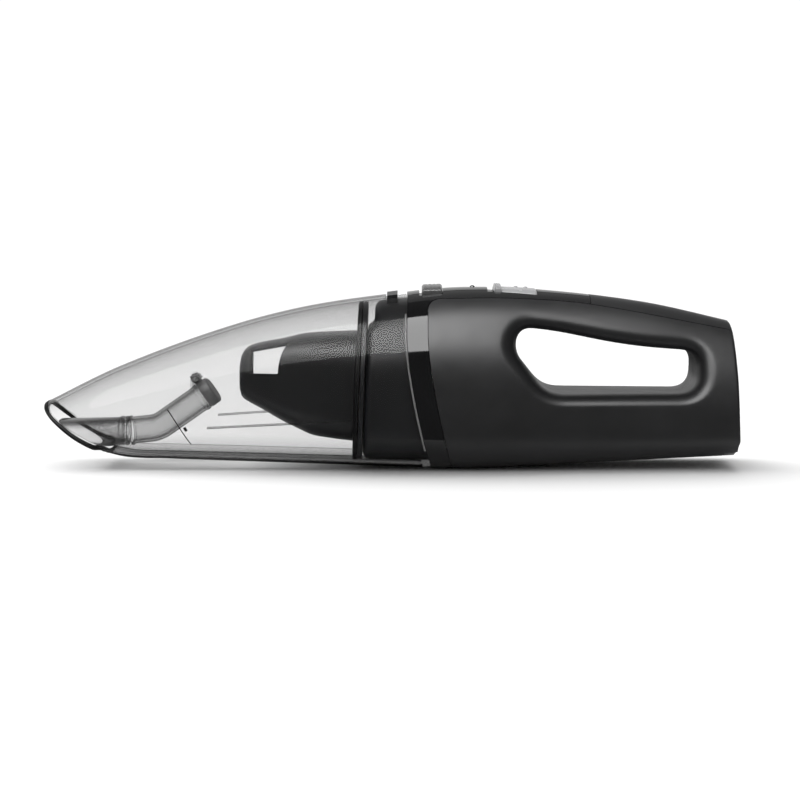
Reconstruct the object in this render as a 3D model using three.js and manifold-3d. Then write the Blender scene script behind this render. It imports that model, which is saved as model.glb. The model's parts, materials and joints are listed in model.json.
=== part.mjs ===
// Cordless wet and dry handheld vacuum, 396 mm long. Millimetres, +Z up, nose towards -X.
// The origin is at the middle of the underside. Each named mesh is one piece that comes apart on a bench.
import * as THREE from "three";
import { mergeVertices } from "three/addons/utils/BufferGeometryUtils.js";
import Module from "manifold-3d";

const wasm = await Module();
wasm.setup();

// ---- driving dimensions ----
const GAP = 0.3; // between neighbouring pieces
const TAIL_X = 198.2;
const SHELL_WALL = 2.4;
const BOWL_WALL = 2.2;
const FLOOR_OVERRUN = 0.8; // how far the egg-shaped sections dip under the flat underside
const PAD = [29, 47]; // the flat pad under the motor, from x to x
const SPINE_SPLIT_X = 114.7;
const HANDLE_WALL = 2.5;
const FLARE = { reach: 10, depth: 14 }; // rounding of the handle opening, in its plane and across
const MOTOR_Z = 44;
const MOTOR_RADIUS = 18;
const FAN_RADIUS = 33;
const LEVER_PIVOT = { x: 44, z: 94 };
const DUCT = { halfHeight: 7.75, halfWidth: 12, wall: 1.4 };
const DUCT_END = { x: -106.4, z: 39.6, slope: THREE.MathUtils.degToRad(35) };
const BASKET_TILT = 0.042; // the filter flange leans forward at its foot, mm per mm of height
const CELL = { radius: 9.2, length: 65, z: 20.4 };

// ---- colours ----
const plastic = (color, roughness) => new THREE.MeshStandardMaterial({ color, roughness, metalness: 0 });
const metal = (color, roughness) => new THREE.MeshStandardMaterial({ color, roughness, metalness: 1 });
const paint = {
  matteShell: plastic("#2b2b2d", 0.55),
  glossBlack: plastic("#0c0c0e", 0.12),
  clear: plastic("#dcdcdc", 0.05),
  smokedDuct: plastic("#9b9b9b", 0.2),
  rubber: plastic("#101010", 0.8),
  filterPlastic: plastic("#2a2a2c", 0.5),
  flap: plastic("#6b6b6b", 0.6),
  paper: plastic("#e4e0d4", 0.95),
  greyButton: plastic("#85888a", 0.25),
  paleSwitch: plastic("#c4c6c7", 0.25),
  steel: metal("#b4b6b8", 0.35),
  brass: metal("#c9a24a", 0.35),
  board: plastic("#1f5a34", 0.5),
  cell: plastic("#3b6ea5", 0.45),
  foam: plastic("#3a3a3a", 1),
};

// ---- curves ----

// A smooth function through points (x, value), carried on straight past its ends.
function curveThrough(points) {
  const slope = points.map((_, i) => {
    const a = points[Math.max(i - 1, 0)];
    const b = points[Math.min(i + 1, points.length - 1)];
    return (b[1] - a[1]) / (b[0] - a[0]);
  });
  return (x) => {
    const last = points.length - 1;
    if (x <= points[0][0]) return points[0][1] + slope[0] * (x - points[0][0]);
    if (x >= points[last][0]) return points[last][1] + slope[last] * (x - points[last][0]);
    const i = points.findIndex((p) => p[0] > x) - 1;
    const h = points[i + 1][0] - points[i][0];
    const t = (x - points[i][0]) / h;
    const rise = t * t * (3 - 2 * t);
    return (
      (1 - rise) * points[i][1] +
      rise * points[i + 1][1] +
      h * t * (1 - t) * ((1 - t) * slope[i] - t * slope[i + 1])
    );
  };
}

const topLine = curveThrough([
  [-198, 35.5], [-155, 56.5], [-95, 78.6], [-47, 91.1], [11, 99.4], [43, 102], [85, 100.7], [146, 93.5],
  [198, 82],
]);
const sideWidth = curveThrough([
  [-198, 27], [-150, 37], [-100, 43.5], [-50, 48], [10, 50.5], [60, 49], [110, 43], [160, 38], [198, 35],
]);
const widestHeight = curveThrough([
  [-198, 18], [-150, 26], [-100, 34], [-50, 40], [10, 44], [60, 42], [110, 35], [198, 27],
]);
const upperPower = curveThrough([[-198, 2.6], [-100, 2.4], [10, 2.3], [110, 2.1], [198, 2]]);
const lowerPower = curveThrough([[-198, 3], [-50, 3.2], [10, 3.4], [110, 4], [198, 4.2]]);

// The underside: a shallow V with the flat pad at its apex.
function floorLine(x) {
  if (x < PAD[0]) return Math.min(PAD[0] - x, 159) * 0.0315;
  return Math.max(x - PAD[1], 0) * 0.0483;
}

// The rear edge of the bowl, as seen from the side: upright above, raked back below.
function bowlSeam(z) {
  const drop = Math.max(75 - z, 0) / 70;
  return 10.4 + 12.6 * Math.pow(drop, 1.45);
}
const COLLAR_WIDTH = 11.6;
const collarSeam = (z) => bowlSeam(z) + COLLAR_WIDTH;
const spineEdge = curveThrough([[30, 96.4], [70, 96.4], [115, 92.8], [196, 77.9]]);

// Points of a polygon of corners [x, z, reach], each rounded by a curve that starts "reach" before it.
function roundedLoop(corners, steps) {
  const at = (i) => new THREE.Vector2(...corners[(i + corners.length) % corners.length]);
  return corners.flatMap(([, , reach], i) => {
    const corner = at(i);
    const from = corner.clone().add(at(i - 1).sub(corner).setLength(reach));
    const to = corner.clone().add(at(i + 1).sub(corner).setLength(reach));
    return new THREE.QuadraticBezierCurve(from, corner, to).getPoints(steps);
  });
}

const HANDLE_CORNERS = [
  [91, 42.8, 9], [175.7, 42.8, 10], [175.7, 66.5, 8], [137, 69.2, 20], [95, 77.8, 10], [75, 80.2, 7],
  [71.6, 67.5, 7],
];

const mouthCurve = new THREE.SplineCurve(
  [[-198.6, 38], [-198, 34], [-191, 26.5], [-179, 17.2], [-166, 10.2], [-152, 6.2], [-140, 5.3]].map(
    ([x, z]) => new THREE.Vector2(x, z),
  ),
);

// ---- solids ----

// A closed mesh as a solid, turned to face outwards.
function solidOf(vertices, triangles) {
  const vertProperties = new Float32Array(vertices);
  const build = (faces) =>
    new wasm.Manifold(new wasm.Mesh({ numProp: 3, vertProperties, triVerts: new Uint32Array(faces) }));
  const made = build(triangles);
  if (made.volume() > 0) return made;
  const turned = [];
  for (let i = 0; i < triangles.length; i += 3) turned.push(triangles[i], triangles[i + 2], triangles[i + 1]);
  return build(turned);
}

function fromGeometry(geometry) {
  const bare = new THREE.BufferGeometry().setAttribute("position", geometry.getAttribute("position"));
  if (geometry.index) bare.setIndex(geometry.index);
  const merged = mergeVertices(bare, 1e-4);
  return solidOf(Array.from(merged.attributes.position.array), Array.from(merged.index.array));
}

// Walls between rings of points, with both end rings filled, or the last ring joined to the first.
function loft(rings, joined = false) {
  const size = rings[0].length;
  const vertices = rings.flat(2);
  const triangles = [];
  const rows = joined ? rings.length : rings.length - 1;
  for (let r = 0; r < rows; r++) {
    for (let i = 0; i < size; i++) {
      const j = (i + 1) % size;
      const [a, b] = [r * size, ((r + 1) % rings.length) * size];
      triangles.push(a + i, a + j, b + j, a + i, b + j, b + i);
    }
  }
  if (joined) return solidOf(vertices, triangles);
  for (const end of [0, rings.length - 1]) {
    const ring = rings[end];
    const middle = vertices.length / 3;
    vertices.push(...[0, 1, 2].map((k) => ring.reduce((sum, p) => sum + p[k], 0) / size));
    for (let i = 0; i < size; i++) {
      const [a, b] = [end * size + i, end * size + ((i + 1) % size)];
      triangles.push(...(end === 0 ? [middle, b, a] : [middle, a, b]));
    }
  }
  return solidOf(vertices, triangles);
}

// A side outline of points (x, z), drawn out across the vacuum from y0 to y1.
function sideSlab(points, y0 = -90, y1 = 90) {
  const shape = new THREE.Shape(points.map((p) => (p.isVector2 ? p : new THREE.Vector2(p[0], p[1]))));
  const geometry = new THREE.ExtrudeGeometry(shape, { depth: y1 - y0, bevelEnabled: false });
  geometry.rotateX(Math.PI / 2).translate(0, y1, 0);
  return fromGeometry(geometry);
}

function box(x0, x1, y0, y1, z0, z1) {
  const geometry = new THREE.BoxGeometry(x1 - x0, y1 - y0, z1 - z0);
  geometry.translate((x0 + x1) / 2, (y0 + y1) / 2, (z0 + z1) / 2);
  return fromGeometry(geometry);
}

// A round bar along X, Y or Z from one end to the other.
function bar(axis, radius, from, to, centre, sides = 16) {
  const geometry = new THREE.CylinderGeometry(radius, radius, to - from, sides);
  const middle = (from + to) / 2;
  if (axis === "x") geometry.rotateZ(Math.PI / 2).translate(middle, centre[0], centre[1]);
  if (axis === "y") geometry.translate(centre[0], middle, centre[1]);
  if (axis === "z") geometry.rotateX(Math.PI / 2).translate(centre[0], centre[1], middle);
  return fromGeometry(geometry);
}

// A ring along X around the motor's axis, or around another centre (y, z).
function ringX(outer, inner, from, to, sides = 24, centre = [0, MOTOR_Z]) {
  return bar("x", outer, from, to, centre, sides).subtract(bar("x", inner, from - 1, to + 1, centre, sides));
}

// A point of a superellipse: angle 0 is +u, a quarter turn on is +v.
function eggPoint(angle, halfU, up, down, powerUp, powerDown) {
  const [c, s] = [Math.cos(angle), Math.sin(angle)];
  const power = s >= 0 ? powerUp : powerDown;
  const bend = (v) => Math.sign(v) * Math.pow(Math.abs(v), 2 / power);
  return [halfU * bend(c), (s >= 0 ? up : down) * bend(s)];
}

// ---- the outer form ----

const SECTION_POINTS = 24;

// One cross-section of the body at x, drawn in by the inset.
function bodySection(x, inset) {
  const middle = widestHeight(x);
  const up = topLine(x) - inset - middle;
  const floor = inset > 0 ? floorLine(x) + inset : floorLine(x) - FLOOR_OVERRUN;
  return Array.from({ length: SECTION_POINTS }, (_, i) => {
    const angle = (2 * Math.PI * i) / SECTION_POINTS;
    const [y, z] = eggPoint(angle, sideWidth(x) - inset, up, middle - floor, upperPower(x), lowerPower(x));
    return [x, y, middle + z];
  });
}

function bodyLoft(inset, from = -206, to = 206, stations = 17) {
  const step = (to - from) / (stations - 1);
  return loft(Array.from({ length: stations }, (_, i) => bodySection(from + step * i, inset)));
}

// Half the body's width at a place of its side.
function halfWidthAt(x, z) {
  const middle = widestHeight(x);
  const above = z >= middle;
  const reach = above ? topLine(x) - middle : middle - floorLine(x) + FLOOR_OVERRUN;
  const power = above ? upperPower(x) : lowerPower(x);
  const part = Math.min(Math.abs(z - middle) / reach, 1);
  return sideWidth(x) * Math.pow(1 - Math.pow(part, power), 1 / power);
}

// The rear face in side view, from its stepped foot up.
const REAR_FACE = [[197.2, 13], [TAIL_X, 15.5], [197.2, 50], [195.8, 77], [195.2, 84], [195, 130]];

// The side outline that trims the lofted form: mouth, underside, rear face and its stepped foot.
function trimOutline() {
  const mouth = mouthCurve.getPoints(14).map((p) => [p.x, p.y]);
  const underside = [[-130, floorLine(-130)], [PAD[0], 0], [PAD[1], 0], [195.3, floorLine(195.3)]];
  return sideSlab([[-215, 130], [-215, 60], ...mouth, ...underside, ...REAR_FACE]);
}

// The handle opening with its flared rounding, as a cutting tool that may be grown by a wall thickness.
const FLARE_STEPS = [0, 0.45, 0.75, 0.93]; // how far out across the flare each ring of the cutter lies

function handleCutter(grow) {
  const outline = roundedLoop(HANDLE_CORNERS, 2);
  const count = outline.length;
  const outward = outline.map((_, i) => {
    const along = outline[(i + 1) % count].clone().sub(outline[(i - 1 + count) % count]);
    return new THREE.Vector2(along.y, -along.x).normalize();
  });
  const place = (i, offset, y) => [
    outline[i].x + outward[i].x * (offset + grow), y, outline[i].y + outward[i].y * (offset + grow),
  ];
  const edge = (i) => {
    const p = outline[i].clone().addScaledVector(outward[i], FLARE.reach * 0.7);
    return halfWidthAt(p.x, p.y) - FLARE.depth;
  };
  const half = (side) => [
    ...FLARE_STEPS.map((t) => outline.map((_, i) =>
      place(i, FLARE.reach * (1 - Math.sqrt(1 - t * t)), side * (edge(i) + FLARE.depth * t)))),
    outline.map((_, i) => place(i, FLARE.reach * 0.8, side * 80)),
  ];
  return loft([...half(-1).reverse(), ...half(1)]);
}

// The line between the glossy cover and the matte side shells, moved into the shells by the gap.
function coverEdge(gap) {
  const raked = Array.from({ length: 9 }, (_, i) => -6 + i * 11.8).map((z) => [collarSeam(z) + gap, z]);
  const corner = new THREE.QuadraticBezierCurve(
    new THREE.Vector2(22 + gap, 90),
    new THREE.Vector2(22.3 + gap, 96.4 - gap),
    new THREE.Vector2(31, 96.4 - gap),
  );
  const along = [40, 55, 70, 85, 100, 115, 130, 150, 170, 190, 208].map((x) => [x, spineEdge(x) - gap]);
  return [...raked, ...corner.getPoints(5).map((p) => [p.x, p.y]), ...along];
}

const outline = trimOutline();
const outerForm = bodyLoft(0).intersect(outline);
const rearInside = REAR_FACE.map(([x, z]) => [x - SHELL_WALL, z]);
const shellCavity = bodyLoft(SHELL_WALL)
  .intersect(sideSlab([[-215, 130], [-215, -20], [rearInside[0][0], -20], ...rearInside]))
  .subtract(handleCutter(HANDLE_WALL));
const bodyWall = outerForm.subtract(handleCutter(0)).subtract(shellCavity);

// ---- the glossy cover, the side shells and the rear trim ----

const SCREWS = [[42, 12.5], [96, 14], [183, 24], [54, 84], [184.5, 73]]; // x and z of each shell screw
const BOSS_RADIUS = 4;
const SWITCH = { from: 59.8, to: 84.2, halfWidth: 15, travel: 3.4 };
const BUTTON = { from: 18.9, to: 30.3, halfWidth: 18, top: 103.8, swing: 1.6 };
const VENT = { first: 56, pitch: 9, count: 5, width: 3.4, from: 8, to: 24 };
const CONTACT_BLOCK = { x: 189.5, halfWidth: 30, top: 13 };

function seamPoints(shift) {
  return Array.from({ length: 10 }, (_, i) => -6 + i * 13).map((z) => [bowlSeam(z) + shift, z]);
}

// The slots in the top for the release button and the power switch, with room for their travel.
function topSlots() {
  const [buttonSide, switchSide] = [BUTTON.halfWidth + GAP, SWITCH.halfWidth + GAP];
  return [
    box(BUTTON.from - BUTTON.swing, BUTTON.to + GAP, -buttonSide, buttonSide, 92, 110),
    box(SWITCH.from - SWITCH.travel - GAP, SWITCH.to + GAP, -switchSide, switchSide, 92, 110),
  ];
}

function sideShell(side) {
  const zone = sideSlab([...coverEdge(GAP / 2), [208, -20], [collarSeam(-6), -20]]);
  const half = side < 0 ? box(-10, 210, -90, -GAP / 2, -10, 120) : box(-10, 210, GAP / 2, 90, -10, 120);
  let shell = bodyWall.intersect(zone);
  const inside = bodyLoft(SHELL_WALL * 0.5);
  for (const [x, z] of SCREWS) {
    shell = shell.add(bar("y", BOSS_RADIUS, -60, 60, [x, z], 12).intersect(inside));
  }
  shell = shell.intersect(half);
  for (const slot of topSlots()) shell = shell.subtract(slot);
  for (const [x, z] of SCREWS) {
    const reach = halfWidthAt(x, z);
    shell = shell.subtract(bar("y", 1.7, -14, reach + 5, [x, z], 8));
    shell = shell.subtract(bar("y", 3.3, reach - 6, reach + 9, [x, z], 12));
  }
  for (let i = 0; i < VENT.count; i++) {
    const x = VENT.first + i * VENT.pitch;
    const [near, far] = side < 0 ? [-VENT.to, -VENT.from] : [VENT.from, VENT.to];
    shell = shell.subtract(box(x, x + VENT.width, near, far, -5, 8));
  }
  const { x, halfWidth, top } = CONTACT_BLOCK;
  return shell.subtract(box(x - GAP, 210, -halfWidth - GAP, halfWidth + GAP, -5, top + GAP));
}

const LED_X = 47.8;

// The collar behind the bowl and the tongue that runs back from it along the top.
function frontCollar() {
  const edge = coverEdge(-GAP / 2).filter(([x]) => x < SPINE_SPLIT_X - 1);
  const split = SPINE_SPLIT_X - GAP / 2;
  const end = [[split, spineEdge(split) + GAP / 2], [split, 125]];
  const zone = sideSlab([...edge, ...end, ...seamPoints(0).reverse()]);
  let cover = bodyWall.intersect(zone);
  for (const side of [-1, 1]) {
    const ear = side < 0 ? [-12.5, -10] : [10, 12.5];
    cover = cover.add(box(40, 48, ...ear, 90, 100.5));
  }
  for (const slot of topSlots()) cover = cover.subtract(slot);
  cover = cover.subtract(bar("z", 2, 90, 110, [LED_X, 0], 16));
  return cover.subtract(bar("y", 1.8, -14, 14, [LEVER_PIVOT.x, LEVER_PIVOT.z], 14));
}

function rearTopTrim() {
  const along = [SPINE_SPLIT_X, 130, 150, 170, 190, 208].map((x) => [x + GAP / 2, spineEdge(x) + GAP / 2]);
  return bodyWall.intersect(sideSlab([...along, [208, 125], [SPINE_SPLIT_X + GAP / 2, 125]]));
}

function rearContactBlock() {
  const { x, halfWidth, top } = CONTACT_BLOCK;
  let block = outerForm.intersect(box(x, 210, -halfWidth, halfWidth, -5, top));
  for (const side of [-1, 1]) {
    block = block.subtract(box(194, 210, side * 10 - 4.3, side * 10 + 4.3, 7.2, 11.8));
  }
  return block;
}

const chargeContact = (side) => box(194.3, 196.2, side * 10 - 4, side * 10 + 4, 7.5, 11.5);

// ---- the bowl ----

const NOTCH = { from: -1.8, halfWidth: 17 };
const LIP_WIDTH = 3;

// A strip along the mouth, as wide as asked.
function mouthStrip(width) {
  const count = 12;
  const outer = Array.from({ length: count }, (_, i) => mouthCurve.getPoint((i / count) * 0.96));
  const inner = outer.map((p, i) => {
    const along = mouthCurve.getTangent((i / count) * 0.96);
    return new THREE.Vector2(p.x - along.y * width, p.y + along.x * width);
  });
  const before = outer.map((p, i) => p.clone().add(p.clone().sub(inner[i]).setLength(4)));
  return sideSlab([...before, ...inner.reverse()]);
}

const bowlForm = outerForm.subtract(bodyLoft(BOWL_WALL));

function dustBowl() {
  const zone = sideSlab([...seamPoints(-GAP).reverse(), [-210, -6], [-210, 111]]);
  const bowl = bowlForm.intersect(zone).subtract(mouthStrip(LIP_WIDTH + GAP));
  return bowl.subtract(box(NOTCH.from, 30, -NOTCH.halfWidth, NOTCH.halfWidth, 90, 110));
}

const mouthLip = () => bowlForm.intersect(mouthStrip(LIP_WIDTH));

// An oval ring of the intake duct: its middle (x, z), the lean of its plane, its half height and half width.
function ductRing({ x, z, lean, halfHeight, halfWidth, power = 2.4 }, inset = 0) {
  const sides = 16;
  return Array.from({ length: sides }, (_, i) => {
    const angle = (2 * Math.PI * i) / sides;
    const high = halfHeight - inset;
    const [y, v] = eggPoint(angle, halfWidth - inset, high, high, power, power);
    return [x - v * Math.sin(lean), y, z + v * Math.cos(lean)];
  });
}

// An open duct with a wall, through a row of oval rings.
function duct(rows, wall) {
  const outer = rows.map((row) => ductRing(row));
  const inner = rows.map((row) => ductRing(row, wall)).reverse();
  return loft([...outer, ...inner], true);
}

// The funnel runs from the slanted mouth to the round-edged throat of the duct.
function intakeFunnel() {
  const spine = [
    { top: [-192.5, 30.6], foot: [-165, 11.2], halfWidth: 21.5, power: 3.2 },
    { top: [-181, 27], foot: [-161, 10.6], halfWidth: 19.5, power: 3 },
    { top: [-169, 26.4], foot: [-157.5, 10.9], halfWidth: 15.5, power: 2.7 },
    { top: [-155.2, 26.9], foot: [-155.2, 11.5], halfWidth: 12, power: 2.4 },
  ];
  const rows = spine.map(({ top, foot, halfWidth, power }) => {
    const [dx, dz] = [top[0] - foot[0], top[1] - foot[1]];
    const middle = { x: (top[0] + foot[0]) / 2, z: (top[1] + foot[1]) / 2 };
    return { ...middle, lean: Math.atan2(-dx, dz), halfHeight: Math.hypot(dx, dz) / 2, halfWidth, power };
  });
  return duct(rows, DUCT.wall);
}

const DUCT_START = { x: -148.6, z: 19.3 };
const DUCT_BEND = { x: -133, z: 21 };

function ductSealRing() {
  const row = (x) => ({ x, z: 19.15, lean: 0, halfHeight: 8.4, halfWidth: 12.8 });
  return duct([row(-154.8), row(-149.9)], 2);
}

const endAxis = { x: Math.cos(DUCT_END.slope), z: Math.sin(DUCT_END.slope) };
// A point given along the duct's end direction and across it, upwards.
const atDuctEnd = (along, across) => [
  DUCT_END.x + along * endAxis.x - across * endAxis.z, DUCT_END.z + along * endAxis.z + across * endAxis.x,
];
const FLAP_PIVOT = atDuctEnd(1.6, 10.6);

function intakeElbow() {
  const rise = Math.atan2(DUCT_BEND.z - DUCT_START.z, DUCT_BEND.x - DUCT_START.x);
  const sweep = new THREE.QuadraticBezierCurve(
    new THREE.Vector2(DUCT_BEND.x - 6, DUCT_BEND.z - 6 * Math.tan(rise)),
    new THREE.Vector2(DUCT_BEND.x, DUCT_BEND.z),
    new THREE.Vector2(DUCT_BEND.x + 8 * endAxis.x, DUCT_BEND.z + 8 * endAxis.z),
  );
  const size = { halfHeight: DUCT.halfHeight, halfWidth: DUCT.halfWidth };
  const rows = [{ ...DUCT_START, lean: rise, ...size }];
  for (let i = 0; i <= 6; i++) {
    const p = sweep.getPoint(i / 6);
    rows.push({ x: p.x, z: p.y, lean: rise + ((DUCT_END.slope - rise) * i) / 6, ...size });
  }
  rows.push({ x: DUCT_END.x, z: DUCT_END.z, lean: DUCT_END.slope, ...size });
  let elbow = duct(rows, DUCT.wall);
  const ear = [[-9, 7], [-1, 7], [3.4, 9.5], [2.6, 13], [-1.5, 12.4]].map((p) => atDuctEnd(...p));
  for (const [y0, y1] of [[-7.6, -5.8], [5.8, 7.6]]) elbow = elbow.add(sideSlab(ear, y0, y1));
  return elbow.subtract(bar("y", 1.3, -10, 10, FLAP_PIVOT, 12));
}

const flapHingePin = () => bar("y", 1, -8.2, 8.2, FLAP_PIVOT, 12);

// The non-return flap: a domed cap over the duct's end, hung from its hinge.
function intakeFlap() {
  const dome = [[0.4, 7.4, 11.6], [2.6, 7.4, 11.6], [4.2, 6.2, 10], [5, 3.6, 6.4]];
  const rows = dome.map(([along, halfHeight, halfWidth]) => {
    const [x, z] = atDuctEnd(along, 0);
    return ductRing({ x, z, lean: DUCT_END.slope, halfHeight, halfWidth });
  });
  const arm = sideSlab([[0.5, 5], [3, 5], [3.6, 10.4], [0.6, 10.4]].map((p) => atDuctEnd(...p)), -5, 5);
  const knuckle = bar("y", 2.2, -5, 5, FLAP_PIVOT, 16);
  return loft(rows).add(arm).add(knuckle).subtract(bar("y", 1.3, -10, 10, FLAP_PIVOT, 12));
}

// ---- the filter ----

const HOOD = [ // x, lowest, highest and half width of the hood
  [-85.1, 43, 59, 16], [-84, 39.4, 64, 19], [-80.5, 36.8, 67.8, 21.5], [-72.5, 32.4, 70.2, 24],
  [-61, 25.8, 72.2, 27], [-51, 21, 74.6, 30], [-44, 17.9, 75.4, 32], [-33, 16, 76, 34],
  [-21.2, 14.6, 76.4, 36],
];

const HOOD_POINTS = 20;
const HOOD_WALL = 1.8;

function hoodRings(inset, shift) {
  return HOOD.map(([x, low, high, halfWidth]) => {
    const [half, middle] = [(high - low) / 2 - inset, (high + low) / 2];
    return Array.from({ length: HOOD_POINTS }, (_, i) => {
      const [y, z] = eggPoint((2 * Math.PI * i) / HOOD_POINTS, halfWidth - inset, half, half, 4, 4);
      return [x + shift, y, middle + z];
    });
  });
}

function basketSlab(from, to) {
  const at = (x0, z) => [x0 + BASKET_TILT * (z - 50), z];
  return sideSlab([at(from, -5), at(to, -5), at(to, 105), at(from, 105)]);
}

function filterHood() {
  const window = [[-76.9, 66], [-58.6, 69], [-61.9, 63], [-63.2, 53.8], [-76.9, 53.8]];
  const hollow = loft(hoodRings(HOOD_WALL, HOOD_WALL));
  const hood = loft(hoodRings(0, 0)).subtract(hollow);
  return hood.subtract(sideSlab(window)).subtract(basketSlab(-19.3, 40));
}

const FILTER_OPENING = { z: 46, halfHeight: 27, halfWidth: 31 };
const opening = (inset, from, to) => {
  const { z, halfHeight, halfWidth } = FILTER_OPENING;
  const row = (x) => ductRing({ x, z, lean: 0, halfHeight, halfWidth, power: 3 }, inset);
  return loft([row(from), row(to)]);
};

function filterGasket() {
  const plate = bodyLoft(BOWL_WALL + GAP, -30, 0, 6).intersect(basketSlab(-18.9, -16.5));
  return plate.subtract(opening(-4, -40, 10)).add(box(-24.5, -20, -22, -17, 5.7, 8.8));
}

function filterFlange() {
  const plate = bodyLoft(BOWL_WALL + 2 * GAP, -30, 0, 6).intersect(basketSlab(-16.1, -13.6));
  return plate.subtract(opening(0, -40, 10));
}

const PLEATS = { folds: 28, depth: 0.16, stretch: 1.08 }; // depth is a share of the drum's radius

// The pleated cartridge: a drum with folds all round and an open back.
function pleatedFilter() {
  const { folds, depth, stretch } = PLEATS;
  const ring = (x, size) =>
    Array.from({ length: folds * 2 }, (_, i) => {
      const angle = (Math.PI * i) / folds;
      const r = size * (i % 2 ? 1 - depth : 1);
      return [x, r * stretch * Math.cos(angle), FILTER_OPENING.z + r * Math.sin(angle)];
    });
  return loft([ring(-52, 20.5), ring(-17, 26.3)]).subtract(bar("x", 15, -49, 0, [0, FILTER_OPENING.z], 24));
}

// ---- the motor's bulkhead, fan and motor ----

// A bar parallel to the motor's axis, on a circle around it.
function barAround(circle, turn, radius, from, to, sides) {
  const angle = turn * 2 * Math.PI;
  return bar("x", radius, from, to, [circle * Math.cos(angle), MOTOR_Z + circle * Math.sin(angle)], sides);
}

const INLET = { radius: 14, holes: 8, holeRadius: 4.5, circle: 24 };

function motorBulkhead() {
  const rear = [[32, -5], [16.6, 75], [16.6, 105]];
  const zone = sideSlab([[-7.4, 105], [-8, 84], [-11.9, 80], [-15.4, -5], ...rear]);
  const inside = sideSlab([[-4.9, 105], [-5.5, 84], [-9.4, 80], [-12.9, -5], [50, -5], [50, 105]]);
  let cup = bodyLoft(BOWL_WALL + 0.9, -18, 40, 5).intersect(zone);
  cup = cup.subtract(bodyLoft(BOWL_WALL + 2.9, -18, 44, 5).intersect(inside));
  cup = cup.subtract(bar("x", INLET.radius, -20, 0, [0, MOTOR_Z], 28));
  for (let i = 0; i < INLET.holes; i++) {
    cup = cup.subtract(barAround(INLET.circle, (i + 0.5) / INLET.holes, INLET.holeRadius, -20, 0, 8));
  }
  cup = cup.subtract(box(-3.2, 5.4, -17, 17, 86, 110)).subtract(box(5, 40, -9, 9, 86, 110));
  const key = bodyLoft(0.5, -14, 30, 8).intersect(box(5.7, 9.9, -16.6, 16.6, 90, 110));
  return cup.add(key.subtract(box(5, 12, -9, 9, 80, 96.2)));
}

const fanCover = () => ringX(36.5, INLET.radius, -4, -2.6);

function fanHousing() {
  const axis = [0, MOTOR_Z];
  let cup = bar("x", 36.5, -2.2, 16, axis, 24).subtract(bar("x", FAN_RADIUS + 1.8, -3, 14.2, axis, 24));
  cup = cup.subtract(bar("x", 6, 10, 20, axis, 20));
  const holes = 6;
  for (let i = 0; i < holes; i++) cup = cup.subtract(barAround(27, i / holes, 5, 10, 20, 12));
  return cup;
}

function impeller() {
  const blades = 9;
  const sweep = 0.35; // how far each blade leans back from the radius, in radians
  let wheel = bar("x", FAN_RADIUS, 10.6, 12, [0, MOTOR_Z], 24).add(bar("x", 6, 0, 12, [0, MOTOR_Z], 20));
  for (let i = 0; i < blades; i++) {
    const blade = new THREE.BoxGeometry(10.5, 27, 1.4);
    blade.rotateX(sweep).translate(5.6, 18.5, 0);
    blade.rotateX((i * 2 * Math.PI) / blades).translate(0, 0, MOTOR_Z);
    wheel = wheel.add(fromGeometry(blade));
  }
  return wheel.subtract(bar("x", 2, -5, 20, [0, MOTOR_Z], 16));
}

const motorShaft = () => bar("x", 1.6, -1.6, 58, [0, MOTOR_Z], 16);

function motorCan() {
  const can = bar("x", MOTOR_RADIUS, 18, 64, [0, MOTOR_Z], 28).add(bar("x", 6.5, 16.4, 20, [0, MOTOR_Z], 20));
  return can.subtract(bar("x", 2.2, 10, 60, [0, MOTOR_Z], 16));
}

function motorEndCap() {
  let cap = bar("x", 15, 64.3, 68, [0, MOTOR_Z], 30);
  for (const y of [-9, 7.8]) cap = cap.add(box(67, 72, y, y + 1.2, MOTOR_Z - 3, MOTOR_Z + 3));
  return cap;
}

const motorDamper = () => ringX(22, MOTOR_RADIUS + GAP, 28, 40);

// ---- batteries and electrics ----

function batteryTray() {
  const floor = box(102, 174, -20, 20, 9.2, 10.8);
  return floor.add(box(102, 103.6, -20, 20, 9.2, 22)).add(box(172.4, 174, -20, 20, 9.2, 22));
}

function batteryCell(index) {
  const y = (index - 1) * 20;
  const start = 105;
  return bar("x", CELL.radius, start, start + CELL.length, [y, CELL.z], 24).add(
    bar("x", 3, start - 0.9, start + 1, [y, CELL.z], 12),
  );
}

function chargeBoard() {
  const board = box(106, 166, -20, 20, 33, 34.6);
  return board.add(box(110, 122, -8, 4, 34.5, 38)).add(box(140, 147, 4, 14, 34.5, 37.5));
}

const exhaustFoam = () => box(53, 101, -20, 20, 5.6, 9.4);
const switchBody = () => box(62, 80, -6, 6, 86, 92.5);

// Round wire along a smooth path of points.
function wire(points, radius, steps) {
  const extrudePath = new THREE.CatmullRomCurve3(points.map((p) => new THREE.Vector3(...p)));
  const section = new THREE.Shape();
  section.absarc(0, 0, radius, 0, 2 * Math.PI);
  const settings = { steps, extrudePath, curveSegments: 2, bevelEnabled: false };
  return fromGeometry(new THREE.ExtrudeGeometry(section, settings));
}

const LEAD_RADIUS = 0.9;
const motorLead = (side) => wire([
  [72.6, side * 8.4, MOTOR_Z - 1], [78, side * 9, MOTOR_Z - 4], [88, side * 11, 34],
  [98, side * 12, 33.4], [105.6, side * 12, 33.8],
], LEAD_RADIUS, 10);

// ---- latch, switch and light ----

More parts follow.
